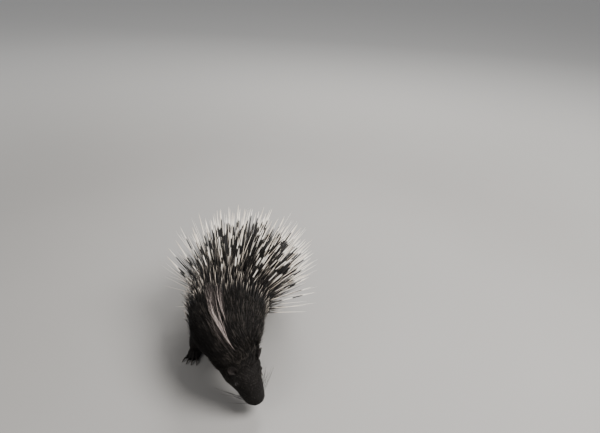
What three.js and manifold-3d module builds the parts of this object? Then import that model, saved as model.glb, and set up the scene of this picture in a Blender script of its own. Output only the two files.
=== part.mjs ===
// A porcupine of the short-tailed Asian kind, life size, standing with its head low and turned to its left and
// its quills raised. Millimetres, +Z up, nose towards -Y, feet on Z = 0. The body is one smooth skin from tail
// tip to nose, parted with thin cuts. Quills and locks of bristle are set on that skin and fused to it.
import * as THREE from "three";
import { mergeVertices } from "three/addons/utils/BufferGeometryUtils.js";
import Module from "manifold-3d";

const wasm = await Module();
wasm.setup();

const GAP = 0.3; // between two nodes that touch
const RIGHT = 1; // the animal's own sides
const LEFT = -1;
const SIDES = [
  ["right", RIGHT],
  ["left", LEFT],
];
const FLOOR = 0;
const UP = new THREE.Vector3(0, 0, 1);
const DOWN = new THREE.Vector3(0, 0, -1);
const FORWARD = new THREE.Vector3(0, -1, 0);
const { degToRad, lerp, clamp } = THREE.MathUtils;
const vec = (...xyz) => new THREE.Vector3(...xyz);

const SEED = 11;
THREE.MathUtils.seededRandom(SEED);
const random = (most) => (2 * THREE.MathUtils.seededRandom() - 1) * most;

// The body: centre, half width, and height above and below the centre at each station, tail first.
const TRUNK = [
  { at: [34, 324, 88], half: 0.5, top: 0.5, bottom: 0.5 }, // tail tip
  { at: [34, 313, 91], half: 8, top: 8, bottom: 8 },
  { at: [33, 294, 96], half: 14, top: 14, bottom: 13 },
  { at: [31, 268, 105], half: 24, top: 24, bottom: 22 }, // tail root
  { at: [29, 243, 117], half: 49, top: 48, bottom: 44 },
  { at: [25, 209, 130], half: 78, top: 74, bottom: 66 }, // rump
  { at: [18, 158, 141], half: 97, top: 91, bottom: 80 }, // haunches
  { at: [8, 92, 148], half: 103, top: 98, bottom: 87 }, // loin
  { at: [-4, 26, 153], half: 100, top: 96, bottom: 90 }, // ribs
  { at: [-13, -36, 157], half: 98, top: 90, bottom: 89 },
  { at: [-8, -95, 159], half: 101, top: 84, bottom: 87 }, // shoulders
  { at: [3, -145, 159], half: 92, top: 74, bottom: 76 },
  { at: [12, -178, 158], half: 78, top: 64, bottom: 68 }, // neck
];
// The head hangs from the occiput along its own line, turned to the animal's left and dipped to the floor.
const OCCIPUT = vec(22, -204, 151);
const HEAD_TURN = degToRad(45);
const HEAD_DIP = degToRad(50);
const HEAD = [
  { along: 0, rise: 0, half: 64, top: 52, bottom: 60 },
  { along: 28, rise: 1, half: 57, top: 49, bottom: 53 }, // ears
  { along: 55, rise: 1, half: 51, top: 47, bottom: 47 }, // cheeks
  { along: 78, rise: 1, half: 44, top: 44, bottom: 40 }, // eyes
  { along: 100, rise: 1, half: 37, top: 39, bottom: 35 },
  { along: 118, rise: 0, half: 32, top: 34, bottom: 31 },
  { along: 134, rise: 0, half: 28, top: 29, bottom: 27 }, // muzzle
  { along: 145, rise: -1, half: 20, top: 21, bottom: 20 },
  { along: 151, rise: -2, half: 9, top: 9, bottom: 9 },
  { along: 152, rise: -2, half: 0.5, top: 0.5, bottom: 0.5 }, // nose tip
];
const HEAD_LINE = vec(
  Math.sin(HEAD_TURN) * Math.cos(HEAD_DIP),
  -Math.cos(HEAD_TURN) * Math.cos(HEAD_DIP),
  -Math.sin(HEAD_DIP),
);
const HEAD_SIDE = HEAD_LINE.clone().cross(UP).normalize(); // to the animal's right
const HEAD_UP = HEAD_SIDE.clone().cross(HEAD_LINE);
for (const { along, rise, ...sizes } of HEAD) {
  const centre = OCCIPUT.clone().addScaledVector(HEAD_LINE, along).addScaledVector(HEAD_UP, rise);
  TRUNK.push({ at: centre.toArray(), ...sizes });
}
const LAST = TRUNK.length - 1;
const OCCIPUT_STATION = LAST - HEAD.length + 1;
const smooth = (points) => new THREE.CatmullRomCurve3(points, false, "catmullrom", 0.5);
const spine = smooth(TRUNK.map((s) => vec(...s.at)));
const girth = smooth(TRUNK.map((s) => vec(s.half, s.top, s.bottom)));

// Where the body is parted, by station, counted from 0 at the tail tip.
const TAIL_CUT = 3;
const TORSO_CUT = 9.2;
const NECK_CUT = 10.8;
const HEAD_CUT = OCCIPUT_STATION - 0.3;
const BODY = {
  tail: { from: 0, to: TAIL_CUT, around: 16, rings: 5 },
  torso_rear: { from: TAIL_CUT, to: TORSO_CUT, around: 24, rings: 10 },
  torso_front: { from: TORSO_CUT, to: NECK_CUT, around: 24, rings: 3 },
  neck: { from: NECK_CUT, to: HEAD_CUT, around: 24, rings: 3 },
  head: { from: HEAD_CUT, to: LAST, around: 24, rings: 13 },
};

// Quills by station: their length, and how far they lean back from the skin's normal.
const QUILLS = [
  { station: 3.3, length: 72, lean: degToRad(14) },
  { station: 4, length: 112, lean: degToRad(22) },
  { station: 5, length: 134, lean: degToRad(36) },
  { station: 6, length: 137, lean: degToRad(52) },
  { station: 7, length: 139, lean: degToRad(49) },
  { station: 8, length: 142, lean: degToRad(34) },
  { station: 8.6, length: 120, lean: degToRad(28) },
  { station: 9.1, length: 72, lean: degToRad(30) },
];
// How they stand: half widths ring by ring, root under the skin, places across and along the body, and out to
// which angle. From side to side, reach is a share of the table's length, and rise turns them upwards: those of
// the right flank are the longest and stand out flattest.
const QUILL = {
  widths: [2.6, 3.1],
  root: 8,
  pitch: 19,
  row: 19,
  spread: degToRad(112),
  sides: [
    { angle: degToRad(-112), reach: 0.93, rise: 0.22 },
    { angle: degToRad(-57), reach: 1.08, rise: 0.25 },
    { angle: 0, reach: 1, rise: 0.36 },
    { angle: degToRad(29), reach: 1.03, rise: 0.3 },
    { angle: degToRad(57), reach: 1.2, rise: 0.02 },
    { angle: degToRad(86), reach: 1.25, rise: -0.05 },
    { angle: degToRad(112), reach: 1, rise: -0.05 },
  ],
};
const BOW = 0.035; // of a quill's length
const TAIL_QUILLS = [
  { station: 0.5, length: 44, lean: degToRad(58) },
  { station: 2.6, length: 52, lean: degToRad(52) },
];
const TAIL_QUILL = {
  widths: [1.7, 2.2],
  root: 5,
  pitch: 15,
  row: 15,
  spread: degToRad(120),
  sides: [
    { angle: degToRad(-120), reach: 0.8, rise: 0.1 },
    { angle: 0, reach: 1, rise: 0.1 },
    { angle: degToRad(120), reach: 0.8, rise: 0.1 },
  ],
};

// Bristles of the forequarters lie back in overlapping locks; a pale mane grows on the nape and falls to the right.
const LOCK = {
  widths: [12, 15.5],
  flat: 0.12,
  root: 4,
  pitch: 30,
  row: 35,
  spread: degToRad(125),
  length: 56,
  rise: 9,
  fall: 0,
};
const MANE = {
  widths: [5, 6.5, 4.5],
  flat: 0.24,
  root: 4,
  pitch: 13,
  row: 27,
  spread: degToRad(13),
  length: 84,
  rise: 21,
  fall: degToRad(20), // sideways along one lock
};
const FIRST_ROW = { lock: 0.2, mane: 0.5, crown: 0.3 }; // stations ahead of a stretch's rear end
const LAST_ROW = 0.1; // stations short of its front end
const ALONG_LOCK = [0, 0.3, 0.65, 1]; // the points a lock bends through
const SHORTER = { length: 0.85, rise: 2, tries: 5 }; // what a lock does to clear its neighbours
const UNEVEN = { length: 0.14, heading: 0.13, place: 0.22 }; // by which quills and locks differ
const STAGGER = 0.25; // of a pitch, to either side, row by row
const STEP = 0.02; // in stations and in radians, for directions on the skin

const middle = (station) => spine.getPoint(clamp(station / LAST, 0, 1));

// Millimetres of spine in one station.
function stationLength(station) {
  const [behind, ahead] = [Math.max(station - STEP, 0), Math.min(station + STEP, LAST)];
  return middle(ahead).distanceTo(middle(behind)) / (ahead - behind);
}

// The skin at a station and an angle from the back's midline, positive to the animal's right, lifted off it.
function skin(station, angle, lift = 0) {
  const t = clamp(station / LAST, 0, 1);
  const ahead = spine.getTangent(t);
  const side = ahead.clone().cross(UP).normalize();
  const up = side.clone().cross(ahead);
  const [half, top, bottom] = girth.getPoint(t).toArray();
  const high = Math.cos(angle) > 0 ? top : bottom;
  return middle(station)
    .addScaledVector(side, Math.sin(angle) * (half + lift))
    .addScaledVector(up, Math.cos(angle) * (high + lift));
}

// The skin's outward normal and its rearward direction at a place.
function lie(station, angle) {
  const along = skin(station + STEP, angle).sub(skin(station - STEP, angle));
  const around = skin(station, angle + STEP).sub(skin(station, angle - STEP));
  const normal = around.clone().cross(along).normalize();
  return { normal, rear: along.normalize().negate() };
}

// The station on the head at a distance from the occiput.
function headStation(distance) {
  const next = HEAD.findIndex((s) => s.along >= distance);
  const share = (distance - HEAD[next - 1].along) / (HEAD[next].along - HEAD[next - 1].along);
  return OCCIPUT_STATION + next - 1 + share;
}

// Moves every vertex of a closed three.js geometry to shape(vertex), and makes a solid of it.
function shaped(geometry, shape) {
  const points = geometry.attributes.position;
  const at = vec();
  for (let i = 0; i < points.count; i++) {
    at.fromBufferAttribute(points, i);
    points.setXYZ(i, ...shape(at).toArray());
  }
  geometry.deleteAttribute("normal");
  geometry.deleteAttribute("uv");
  const merged = mergeVertices(geometry, 1e-4);
  return new wasm.Manifold(
    new wasm.Mesh({
      numProp: 3,
      vertProperties: merged.attributes.position.array,
      triVerts: new Uint32Array(merged.index.array),
    }),
  );
}

function geometryOf(solid) {
  const { vertProperties, triVerts } = solid.getMesh();
  const geometry = new THREE.BufferGeometry();
  geometry.setAttribute("position", new THREE.BufferAttribute(vertProperties, 3));
  geometry.setIndex(new THREE.BufferAttribute(triVerts, 1));
  geometry.computeVertexNormals();
  return geometry;
}

// Joins solids and keeps the largest closed body, which drops loose scraps.
function fused(solids) {
  const parts = wasm.Manifold.union(solids).decompose();
  return parts.reduce((a, b) => (b.volume() > a.volume() ? b : a));
}

const misses = (solid, others) => others.every((other) => solid.intersect(other).isEmpty());

// One stretch of the body, its flat ends drawn in by half a gap; at the nose and the tail tip it closes. Grown,
// it overlaps its neighbours and serves to keep other solids off it.
function stretch(name, grow = 0) {
  const { from, to, around, rings } = BODY[name];
  const drawnIn = grow > 0 ? -grow / 2 : GAP / 2;
  const start = from === 0 ? 0 : from + drawnIn / stationLength(from);
  const end = to === LAST ? LAST : to - drawnIn / stationLength(to);
  const closes = from === 0 || to === LAST;
  const tube = closes
    ? new THREE.ConeGeometry(1, 1, around, rings)
    : new THREE.CylinderGeometry(1, 1, 1, around, rings);
  const flip = from === 0 ? -1 : 1; // a cone's point is at its top, so the tail's is turned round
  return shaped(tube, (p) => {
    const station = lerp(start, end, 0.5 + flip * p.y);
    const onAxis = Math.hypot(p.x, p.z) < 1e-6;
    return onAxis ? middle(station) : skin(station, Math.atan2(flip * p.x, p.z), grow);
  });
}

// A limb through stations of { at, wide, deep } from its root down, its ends flat and the last one level.
function limb(stations, { around, rings }) {
  const path = smooth(stations.map((s) => vec(...s.at)));
  const width = smooth(stations.map((s) => vec(s.wide, s.deep, 0)));
  return shaped(new THREE.CylinderGeometry(1, 1, 1, around, rings), (p) => {
    const t = 0.5 - p.y;
    const ahead = t > 0.999 ? DOWN.clone() : path.getTangent(t);
    const side = FORWARD.clone().cross(ahead).normalize();
    const front = ahead.clone().cross(side);
    const { x: wide, y: deep } = width.getPoint(t);
    return path.getPoint(t).addScaledVector(side, p.x * wide).addScaledVector(front, p.z * deep);
  });
}

// A ball drawn out to three radii along the axes of a frame at a centre.
function ball(centre, radii, axes, around, rings) {
  const frame = new THREE.Matrix4().makeBasis(...axes).setPosition(centre);
  return shaped(new THREE.SphereGeometry(1, around, rings), (p) => p.multiply(vec(...radii)).applyMatrix4(frame));
}

// A tapered spike of few sides on a bent line: its half widths ring by ring from the root, then a point. It is
// flattened along the facing direction, and may be grown all round.
function spike({ line, facing, widths, flat = 1, sides = 4 }, grow = 0) {
  return shaped(new THREE.ConeGeometry(1, 1, sides, widths.length), (p) => {
    const t = 0.5 + p.y;
    const ahead = line.getTangent(t);
    const across = ahead.clone().cross(facing).normalize();
    const out = across.clone().cross(ahead);
    if (Math.hypot(p.x, p.z) < 1e-6) return line.getPoint(t).addScaledVector(ahead, t === 1 ? grow : 0);
    const wide = widths[Math.round(t * widths.length)];
    const angle = Math.atan2(p.x, p.z);
    return line
      .getPoint(t)
      .addScaledVector(across, Math.sin(angle) * (wide + grow))
      .addScaledVector(out, Math.cos(angle) * (wide * flat + grow));
  });
}

// The values at a place, from a table in order of that key.
function between(table, key, place) {
  const found = table.findIndex((row) => row[key] > place);
  const next = found < 1 ? (found < 0 ? table.length - 1 : 1) : found;
  const [a, b] = [table[next - 1], table[next]];
  const share = clamp((place - a[key]) / (b[key] - a[key]), 0, 1);
  return Object.fromEntries(Object.keys(a).map((name) => [name, lerp(a[name], b[name], share)]));
}

// Places on the skin between two stations and out to an angle either side, in staggered, slightly uneven rows.
function rows(from, to, { pitch, row, spread }) {
  const places = [];
  let shift = STAGGER;
  for (let station = from; station < to; station += row / stationLength(station)) {
    const radius = girth.getPoint(station / LAST).x;
    const count = Math.max(1, Math.round((2 * spread * radius) / pitch));
    for (let i = 0; i < count; i++) {
      const angle = lerp(-spread, spread, (i + shift) / count) + (random(UNEVEN.place) * pitch) / radius;
      const at = station + (random(UNEVEN.place) * row) / stationLength(station);
      places.push([clamp(at, from, to), angle]);
    }
    shift = 1 - shift;
  }
  return places;
}

// A quill stands out from the skin, leans back, and is bowed a little.
function quill(table, kind, station, angle) {
  const { length, lean } = between(table, "station", station);
  const side = between(kind.sides, "angle", angle);
  const { normal, rear } = lie(station, angle);
  const facing = normal.clone().cross(rear);
  const heading = normal
    .multiplyScalar(Math.cos(lean))
    .addScaledVector(rear, Math.sin(lean) + random(UNEVEN.heading))
    .addScaledVector(UP, side.rise * Math.abs(Math.sin(angle)))
    .addScaledVector(facing, random(UNEVEN.heading))
    .normalize();
  const reach = length * side.reach * (1 + random(UNEVEN.length));
  const root = skin(station, angle, -kind.root);
  const tip = root.clone().addScaledVector(heading, reach + kind.root);
  const belly = root.clone().lerp(tip, 0.5).addScaledVector(rear, -2 * BOW * reach);
  return { line: new THREE.QuadraticBezierCurve3(root, belly, tip), facing, widths: kind.widths, sides: 3 };
}

// Whether a quill keeps off those before it, by their thickness and a gap.
function keepsClear({ line, widths }, others) {
  const bend = line.getPoint(0.5);
  const halves = [new THREE.Line3(line.v0, bend), new THREE.Line3(bend, line.v2)];
  const least = (2 * Math.max(...widths) + GAP) ** 2;
  if (others.some((other) => halves.some((half) => other.distanceSqToLine3(half) < least))) return false;
  others.push(...halves);
  return true;
}

function quills(table, kind, obstacles) {
  const lines = [];
  return rows(table[0].station, table.at(-1).station, kind)
    .map((place) => quill(table, kind, ...place))
    .filter((each) => keepsClear(each, lines))
    .filter((each) => misses(spike(each, GAP), obstacles))
    .map((each) => spike(each));
}

// A flat lock rises out of the skin, sweeps back along it and falls to one side.
function lock(kind, station, angle, { length, rise, fall }) {
  const points = ALONG_LOCK.map((share) => {
    const at = station - (share * length) / stationLength(station);
    return skin(at, angle + share * fall, lerp(-kind.root, rise, Math.sqrt(share)));
  });
  return { line: smooth(points), facing: lie(station, angle).normal, widths: kind.widths, flat: kind.flat };
}

// Locks in rows. One that meets a solid behind it is made shorter and higher until it clears it, or left out.
function locks(from, to, kind, obstacles) {
  const solids = [];
  for (const place of rows(from, to, kind)) {
    const size = { length: kind.length * (1 + random(UNEVEN.length)), rise: kind.rise };
    size.fall = kind.fall + random(UNEVEN.heading);
    for (let tries = 0; tries < SHORTER.tries; tries++) {
      const each = lock(kind, ...place, size);
      if (misses(spike(each, GAP), obstacles)) {
        solids.push(spike(each));
        break;
      }
      size.length *= SHORTER.length;
      size.rise += SHORTER.rise;
    }
  }
  return solids;
}

const finish = (color, roughness) => new THREE.MeshStandardMaterial({ color, roughness, metalness: 0 });
const bristleBlack = finish(0x1d1a18, 0.8);
const quillWhite = finish(0x9a9286, 0.5);
const earSkin = finish(0x3a302c, 0.7);
const eyeBlack = finish(0x0a0808, 0.12);
const clawHorn = finish(0x2a241f, 0.4);
const group = new THREE.Group();

function addNode(name, solid, material) {
  const mesh = new THREE.Mesh(geometryOf(solid), material.clone());
  mesh.name = name;
  group.add(mesh);
}

// Feet and legs

const LIMBS = {
  front_right: {
    leg: [
      { at: [-66, -80, 122], wide: 36, deep: 42 },
      { at: [-90, -74, 88], wide: 29, deep: 31 },
      { at: [-108, -64, 54], wide: 21, deep: 23 },
      { at: [-113, -61, 28], wide: 17, deep: 17 },
      { at: [-113, -60, 22], wide: 17, deep: 17 },
    ],
    foot: { heading: degToRad(-14), length: 66, width: 44, height: 22, toes: 4, heel: 0.42 },
  },
  front_left: {
    leg: [
      { at: [36, -92, 122], wide: 36, deep: 42 },
      { at: [52, -92, 88], wide: 29, deep: 31 },
      { at: [62, -94, 54], wide: 21, deep: 23 },
      { at: [64, -100, 28], wide: 17, deep: 17 },
      { at: [64, -101, 22], wide: 17, deep: 17 },
    ],
    foot: { heading: degToRad(8), length: 66, width: 44, height: 22, toes: 4, heel: 0.42 },
  },
  hind_right: {
    leg: [
      { at: [-44, 138, 118], wide: 42, deep: 56 },
      { at: [-62, 132, 88], wide: 34, deep: 44 },
      { at: [-74, 146, 56], wide: 23, deep: 28 },
      { at: [-78, 156, 30], wide: 18, deep: 19 },
      { at: [-78, 157, 24], wide: 18, deep: 19 },
    ],
    foot: { heading: degToRad(-10), length: 84, width: 48, height: 22, toes: 5, heel: 0.3 },
  },
  hind_left: {
    leg: [
      { at: [66, 156, 118], wide: 42, deep: 56 },
      { at: [72, 158, 88], wide: 34, deep: 44 },
      { at: [68, 180, 56], wide: 23, deep: 28 },
      { at: [64, 196, 30], wide: 18, deep: 19 },
      { at: [64, 197, 24], wide: 18, deep: 19 },
    ],
    foot: { heading: degToRad(4), length: 84, width: 48, height: 22, toes: 5, heel: 0.3 },
  },
};
// Toes are balls drawn out forwards and cut flat at their end, set back more and more to either side.
const TOE = {
  radius: 6.5,
  length: 14,
  end: 10.5,
  height: 5.2,
  setBack: 1.1,
  curve: 0.12,
  spread: 0.86,
  fan: degToRad(13),
};
const PAD = { height: 0.34, thick: 0.72, back: 6.5, short: 5.2 }; // against the foot's height, and in millimetres
const CLAW = { reach: 15, height: 6.8, drop: 6, widths: [3.2, 2.9], flat: 0.85, sides: 5 };

// Where a foot's toes lie: the ankle stands over a share of the foot's length from the heel.
function toesOf({ leg, foot }) {
  const [x, y] = leg.at(-1).at;
  const towards = (turn) => vec(Math.sin(foot.heading + turn), -Math.cos(foot.heading + turn), 0);
  const ahead = towards(0);
  const across = ahead.clone().cross(UP);
  const sole = vec(x, y, FLOOR).addScaledVector(ahead, foot.length * (0.5 - foot.heel));
  const toes = Array.from({ length: foot.toes }, (_, i) => {
    const place = i - (foot.toes - 1) / 2;
    const line = towards(-place * TOE.fan);
    const root = sole
      .clone()
      .addScaledVector(ahead, foot.length / 2 - TOE.length * (TOE.setBack + TOE.curve * place * place))
      .addScaledVector(across, (place * foot.width * TOE.spread) / foot.toes);
    return { root: root.setZ(TOE.height), line, across: line.clone().cross(UP) };
  });
  return { sole, toes, ahead, across };
}

// A claw stands on the flat end of its toe.
function claw({ root, line, across }) {
  const start = root.clone().addScaledVector(line, TOE.end + GAP).setZ(CLAW.height);
  const knuckle = start.clone().addScaledVector(line, CLAW.reach / 2);
  const tip = start.clone().addScaledVector(line, CLAW.reach).setZ(CLAW.height - CLAW.drop);
  return spike({ line: new THREE.QuadraticBezierCurve3(start, knuckle, tip), facing: across, ...CLAW });
}

function footOf(shape) {
  const { leg, foot } = shape;
  const { sole, toes, ahead, across } = toesOf(shape);
  const { at: ankle, wide, deep } = leg.at(-1);
  const pad = ball(
    sole.clone().setZ(foot.height * PAD.height).addScaledVector(ahead, -PAD.back),
    [foot.width / 2, foot.length / 2 - PAD.short, foot.height * PAD.thick],
    [across, ahead, UP],
    12,
    6,
  );
  const shank = limb(
    [
      { at: ankle, wide, deep },
      { at: [ankle[0], ankle[1], PAD.short], wide, deep },
    ],
    { around: 10, rings: 1 },
  );
  const digits = toes.map(({ root, line, across: side }) =>
    ball(root, [TOE.radius, TOE.length, TOE.radius], [side, line, UP], 6, 4).trimByPlane(
      line.clone().negate().toArray(),
      -line.dot(root) - TOE.end,
    ),
  );
  return fused([pad, shank, ...digits])
    .trimByPlane(UP.toArray(), FLOOR)
    .trimByPlane(DOWN.toArray(), GAP / 2 - ankle[2]);
}

const cover = wasm.Manifold.union(Object.keys(BODY).map((name) => stretch(name, GAP)));
const legs = [];
for (const [name, shape] of Object.entries(LIMBS)) {
  const ankle = shape.leg.at(-1).at[2];
  const leg = limb(shape.leg, { around: 12, rings: 5 }).trimByPlane(UP.toArray(), ankle + GAP / 2);
  legs.push(fused([leg.subtract(cover)]));
  addNode(`${name}_leg`, legs.at(-1), bristleBlack);
  addNode(`${name}_foot`, footOf(shape), bristleBlack);
  toesOf(shape).toes.forEach((toe, i) => addNode(`${name}_claw_${i + 1}`, claw(toe), clawHorn));
}

// Body and coat, from the tail forwards, each stretch kept clear of those behind it

const tail = fused([stretch("tail"), ...quills(TAIL_QUILLS, TAIL_QUILL, [stretch("torso_rear", GAP)])]);
const torsoRear = fused([stretch("torso_rear"), ...quills(QUILLS, QUILL, [tail, stretch("tail", GAP), ...legs])]);
const torsoFront = fused([
  stretch("torso_front"),
  ...locks(TORSO_CUT + FIRST_ROW.lock, NECK_CUT - LAST_ROW, LOCK, [torsoRear, ...legs]),
  ...locks(TORSO_CUT + FIRST_ROW.mane, NECK_CUT - LAST_ROW, MANE, [torsoRear]),
]);
const neck = fused([
  stretch("neck"),
  ...locks(NECK_CUT + FIRST_ROW.lock, HEAD_CUT - LAST_ROW, LOCK, [torsoFront, torsoRear, ...legs]),
  ...locks(NECK_CUT + FIRST_ROW.lock, HEAD_CUT - LAST_ROW, MANE, [torsoFront, torsoRear]),
]);
addNode("tail", tail, quillWhite);
addNode("torso_rear", torsoRear, quillWhite);
addNode("torso_front", torsoFront, bristleBlack);
addNode("neck", neck, bristleBlack);

// Head, eyes and ears

const EYE = { along: 73, angle: degToRad(66), radius: 5.6, sunk: 2.6 };
const LID = { radius: 6.4, tube: 2, height: 0.72, lift: 0.4, flat: 0.9 };
const EAR = { along: 44, angle: degToRad(47), width: 12, depth: 6.5, height: 17, rise: 10.5, back: 1.7 };
const CROWN_END = 18; // how far from the occiput the crown's locks grow, clear of the ears
const CUP = { width: 0.78, depth: 0.95, height: 0.78, ahead: 4.5, above: 1 };
const NOSTRIL = { along: 144, angle: degToRad(48), radii: [2, 5.5, 3.2] };
const MOUTH = [
  { along: 109, below: degToRad(62) }, // corner
  { along: 121, below: degToRad(54) },
  { along: 135, below: degToRad(42) },
  { along: 141.5, below: 0 },
];
const LIP = { radius: 3.4, lift: -1.2 };
const MOUTH_LINE = { radius: 1.3, lift: 1.7 };

function placeOnHead(along, angle, lift = 0) {
  const station = headStation(along);
  const { normal, rear } = lie(station, angle);
  const ahead = rear.clone().negate();
  return { at: skin(station, angle, lift), normal, ahead, across: ahead.clone().cross(normal).normalize() };
}

function eyeball(side, grow = 0) {
  const { at, normal, ahead, across } = placeOnHead(EYE.along, side * EYE.angle);
  const radii = Array(3).fill(EYE.radius + grow);
  return ball(at.addScaledVector(normal, -EYE.sunk), radii, [across, ahead, normal], 10, 7);
}

function lids(side) {
  const { at, normal, ahead, across } = placeOnHead(EYE.along, side * EYE.angle, LID.lift);
  const frame = new THREE.Matrix4().makeBasis(across, ahead, normal).setPosition(at);
  const ring = new THREE.TorusGeometry(LID.radius, LID.tube, 4, 12);
  return shaped(ring, (p) => p.multiply(vec(LID.height, 1, LID.flat)).applyMatrix4(frame));
}

function ear(side) {
  const { at, normal, ahead } = placeOnHead(EAR.along, side * EAR.angle);
  const up = normal.clone().addScaledVector(ahead, -EAR.back).normalize();
  const face = ahead.clone().addScaledVector(up, -ahead.dot(up)).normalize();
  const axes = [face.clone().cross(up), face, up];
  const centre = at.addScaledVector(up, EAR.rise);
  const shell = ball(centre, [EAR.width, EAR.depth, EAR.height], axes, 12, 8);
  const inside = centre.clone().addScaledVector(face, CUP.ahead).addScaledVector(up, CUP.above);
  const cupSize = [EAR.width * CUP.width, EAR.depth * CUP.depth, EAR.height * CUP.height];
  return shell.subtract(ball(inside, cupSize, axes, 10, 6)).subtract(stretch("head", GAP));
}

// A round bead along the line of the mouth, from corner to corner under the muzzle.
function mouthBead({ radius, lift }) {
  const rightHalf = MOUTH.map(({ along, below }) => skin(headStation(along), Math.PI - below, lift));
  const leftHalf = MOUTH.slice(0, -1).map(({ along, below }) => skin(headStation(along), Math.PI + below, lift));
  const path = smooth([...rightHalf, ...leftHalf.reverse()]);
  const section = new THREE.Shape().absellipse(0, 0, radius, radius, 0, 2 * Math.PI);
  return shaped(new THREE.ExtrudeGeometry(section, { extrudePath: path, steps: 12, curveSegments: 3 }), (p) => p);
}

const nostrils = SIDES.map(([, side]) => {
  const { at, normal, ahead, across } = placeOnHead(NOSTRIL.along, side * NOSTRIL.angle);
  return ball(at, NOSTRIL.radii, [across, ahead, normal], 8, 6);
});
const sockets = SIDES.map(([, side]) => eyeball(side, GAP));
const skull = fused([stretch("head"), ...SIDES.map(([, side]) => lids(side)), mouthBead(LIP)]);
const face = fused([skull.subtract(wasm.Manifold.union([...sockets, ...nostrils, mouthBead(MOUTH_LINE)]))]);
const crownLocks = locks(HEAD_CUT + FIRST_ROW.crown, headStation(CROWN_END), MANE, [neck, torsoFront]);
addNode("head", fused([face, ...crownLocks]), bristleBlack);
for (const [name, side] of SIDES) {
  addNode(`ear_${name}`, ear(side), earSkin);
  addNode(`eye_${name}`, eyeball(side), eyeBlack);
}

// The origin is under the middle of the whole.
const centre = new THREE.Box3().setFromObject(group).getCenter(vec());
group.position.set(-centre.x, -centre.y, 0);

export default group;
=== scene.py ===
"""A short-tailed Asian porcupine, life size, standing with its head low and its quills raised.

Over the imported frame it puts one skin, quills, bristles, a pale mane, short fur, whiskers, ears, lids, eyes
and claws. Lengths are millimetres in the body's own frame; a mesh is in the row frame's metres."""

import math

import bmesh
import bpy
import numpy as np
from mathutils import Matrix, Vector
from mathutils.kdtree import KDTree


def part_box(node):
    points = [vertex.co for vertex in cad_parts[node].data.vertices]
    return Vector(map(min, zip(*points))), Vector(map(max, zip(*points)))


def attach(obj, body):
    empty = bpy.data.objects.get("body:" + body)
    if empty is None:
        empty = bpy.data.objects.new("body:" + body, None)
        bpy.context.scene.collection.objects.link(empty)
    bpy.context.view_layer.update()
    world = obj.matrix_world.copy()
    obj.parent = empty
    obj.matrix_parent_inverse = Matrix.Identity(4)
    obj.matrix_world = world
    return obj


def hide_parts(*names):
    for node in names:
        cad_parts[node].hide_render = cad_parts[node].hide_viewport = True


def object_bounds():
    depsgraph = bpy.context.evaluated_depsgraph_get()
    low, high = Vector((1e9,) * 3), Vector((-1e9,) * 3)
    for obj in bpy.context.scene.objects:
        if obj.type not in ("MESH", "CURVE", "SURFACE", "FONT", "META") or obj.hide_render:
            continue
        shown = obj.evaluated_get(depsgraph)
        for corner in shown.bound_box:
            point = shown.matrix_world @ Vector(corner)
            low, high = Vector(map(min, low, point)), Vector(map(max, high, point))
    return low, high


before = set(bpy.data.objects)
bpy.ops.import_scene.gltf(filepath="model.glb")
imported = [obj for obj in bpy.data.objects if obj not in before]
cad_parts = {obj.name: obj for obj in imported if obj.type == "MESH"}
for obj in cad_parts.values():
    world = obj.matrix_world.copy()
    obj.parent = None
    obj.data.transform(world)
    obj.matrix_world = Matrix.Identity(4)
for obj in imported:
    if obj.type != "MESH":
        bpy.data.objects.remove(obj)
CAD_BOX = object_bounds()
BODY = "root"
SIDES = {"right": 1, "left": -1}  # the animal's own sides
UP = np.array([0.0, 0.0, 1.0])
MM = 0.001
SEED = 7
draw = np.random.default_rng(SEED)

# The body: centre, half width, and height above and below the centre at each station, tail first.
TRUNK = [
    ((34, 324, 88), 0.5, 0.5, 0.5),  # tail tip
    ((34, 313, 91), 8, 8, 8),
    ((33, 294, 96), 14, 14, 13),
    ((31, 268, 105), 24, 24, 22),  # tail root
    ((29, 243, 117), 49, 48, 44),
    ((25, 209, 130), 78, 74, 66),  # rump
    ((18, 158, 141), 97, 91, 80),  # haunches
    ((8, 92, 148), 103, 98, 87),  # loin
    ((-4, 26, 153), 100, 96, 90),  # ribs
    ((-13, -36, 157), 98, 90, 89),
    ((-8, -95, 159), 101, 84, 87),  # shoulders
    ((3, -145, 159), 92, 74, 76),
    ((12, -178, 158), 78, 64, 68),  # neck
]
OCCIPUT = np.array([22.0, -204.0, 151.0])
HEAD_TURN = math.radians(45)
HEAD_DIP = math.radians(50)
# The head: distance from the occiput, rise of the centre, half width, height above and below.
HEAD = [
    (0, 0, 64, 52, 60),
    (28, 1, 57, 49, 53),  # ears
    (55, 1, 51, 47, 47),  # cheeks
    (78, 1, 44, 44, 40),  # eyes
    (100, 1, 37, 39, 35),
    (118, 0, 32, 34, 31),
    (134, 0, 28, 29, 27),  # muzzle
    (145, -1, 20, 21, 20),
    (151, -2, 9, 9, 9),
    (152, -2, 0.5, 0.5, 0.5),  # nose tip
]
HEAD_LINE = np.array(
    [
        math.sin(HEAD_TURN) * math.cos(HEAD_DIP),
        -math.cos(HEAD_TURN) * math.cos(HEAD_DIP),
        -math.sin(HEAD_DIP),
    ]
)


def unit(v):
    v = np.asarray(v, float)
    return v / np.maximum(np.linalg.norm(v, axis=-1, keepdims=True), 1e-9)


HEAD_SIDE = unit(np.cross(HEAD_LINE, UP))
HEAD_UP = np.cross(HEAD_SIDE, HEAD_LINE)
CENTRES = np.array(
    [at for at, *_ in TRUNK]
    + [OCCIPUT + HEAD_LINE * along + HEAD_UP * rise for along, rise, *_ in HEAD]
)
GIRTHS = np.array([sizes for _, *sizes in TRUNK] + [sizes for _, _, *sizes in HEAD])
LAST = len(CENTRES) - 1
OCCIPUT_STATION = len(TRUNK)
STEP = 0.02  # in stations and in radians, for directions on the skin


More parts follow.
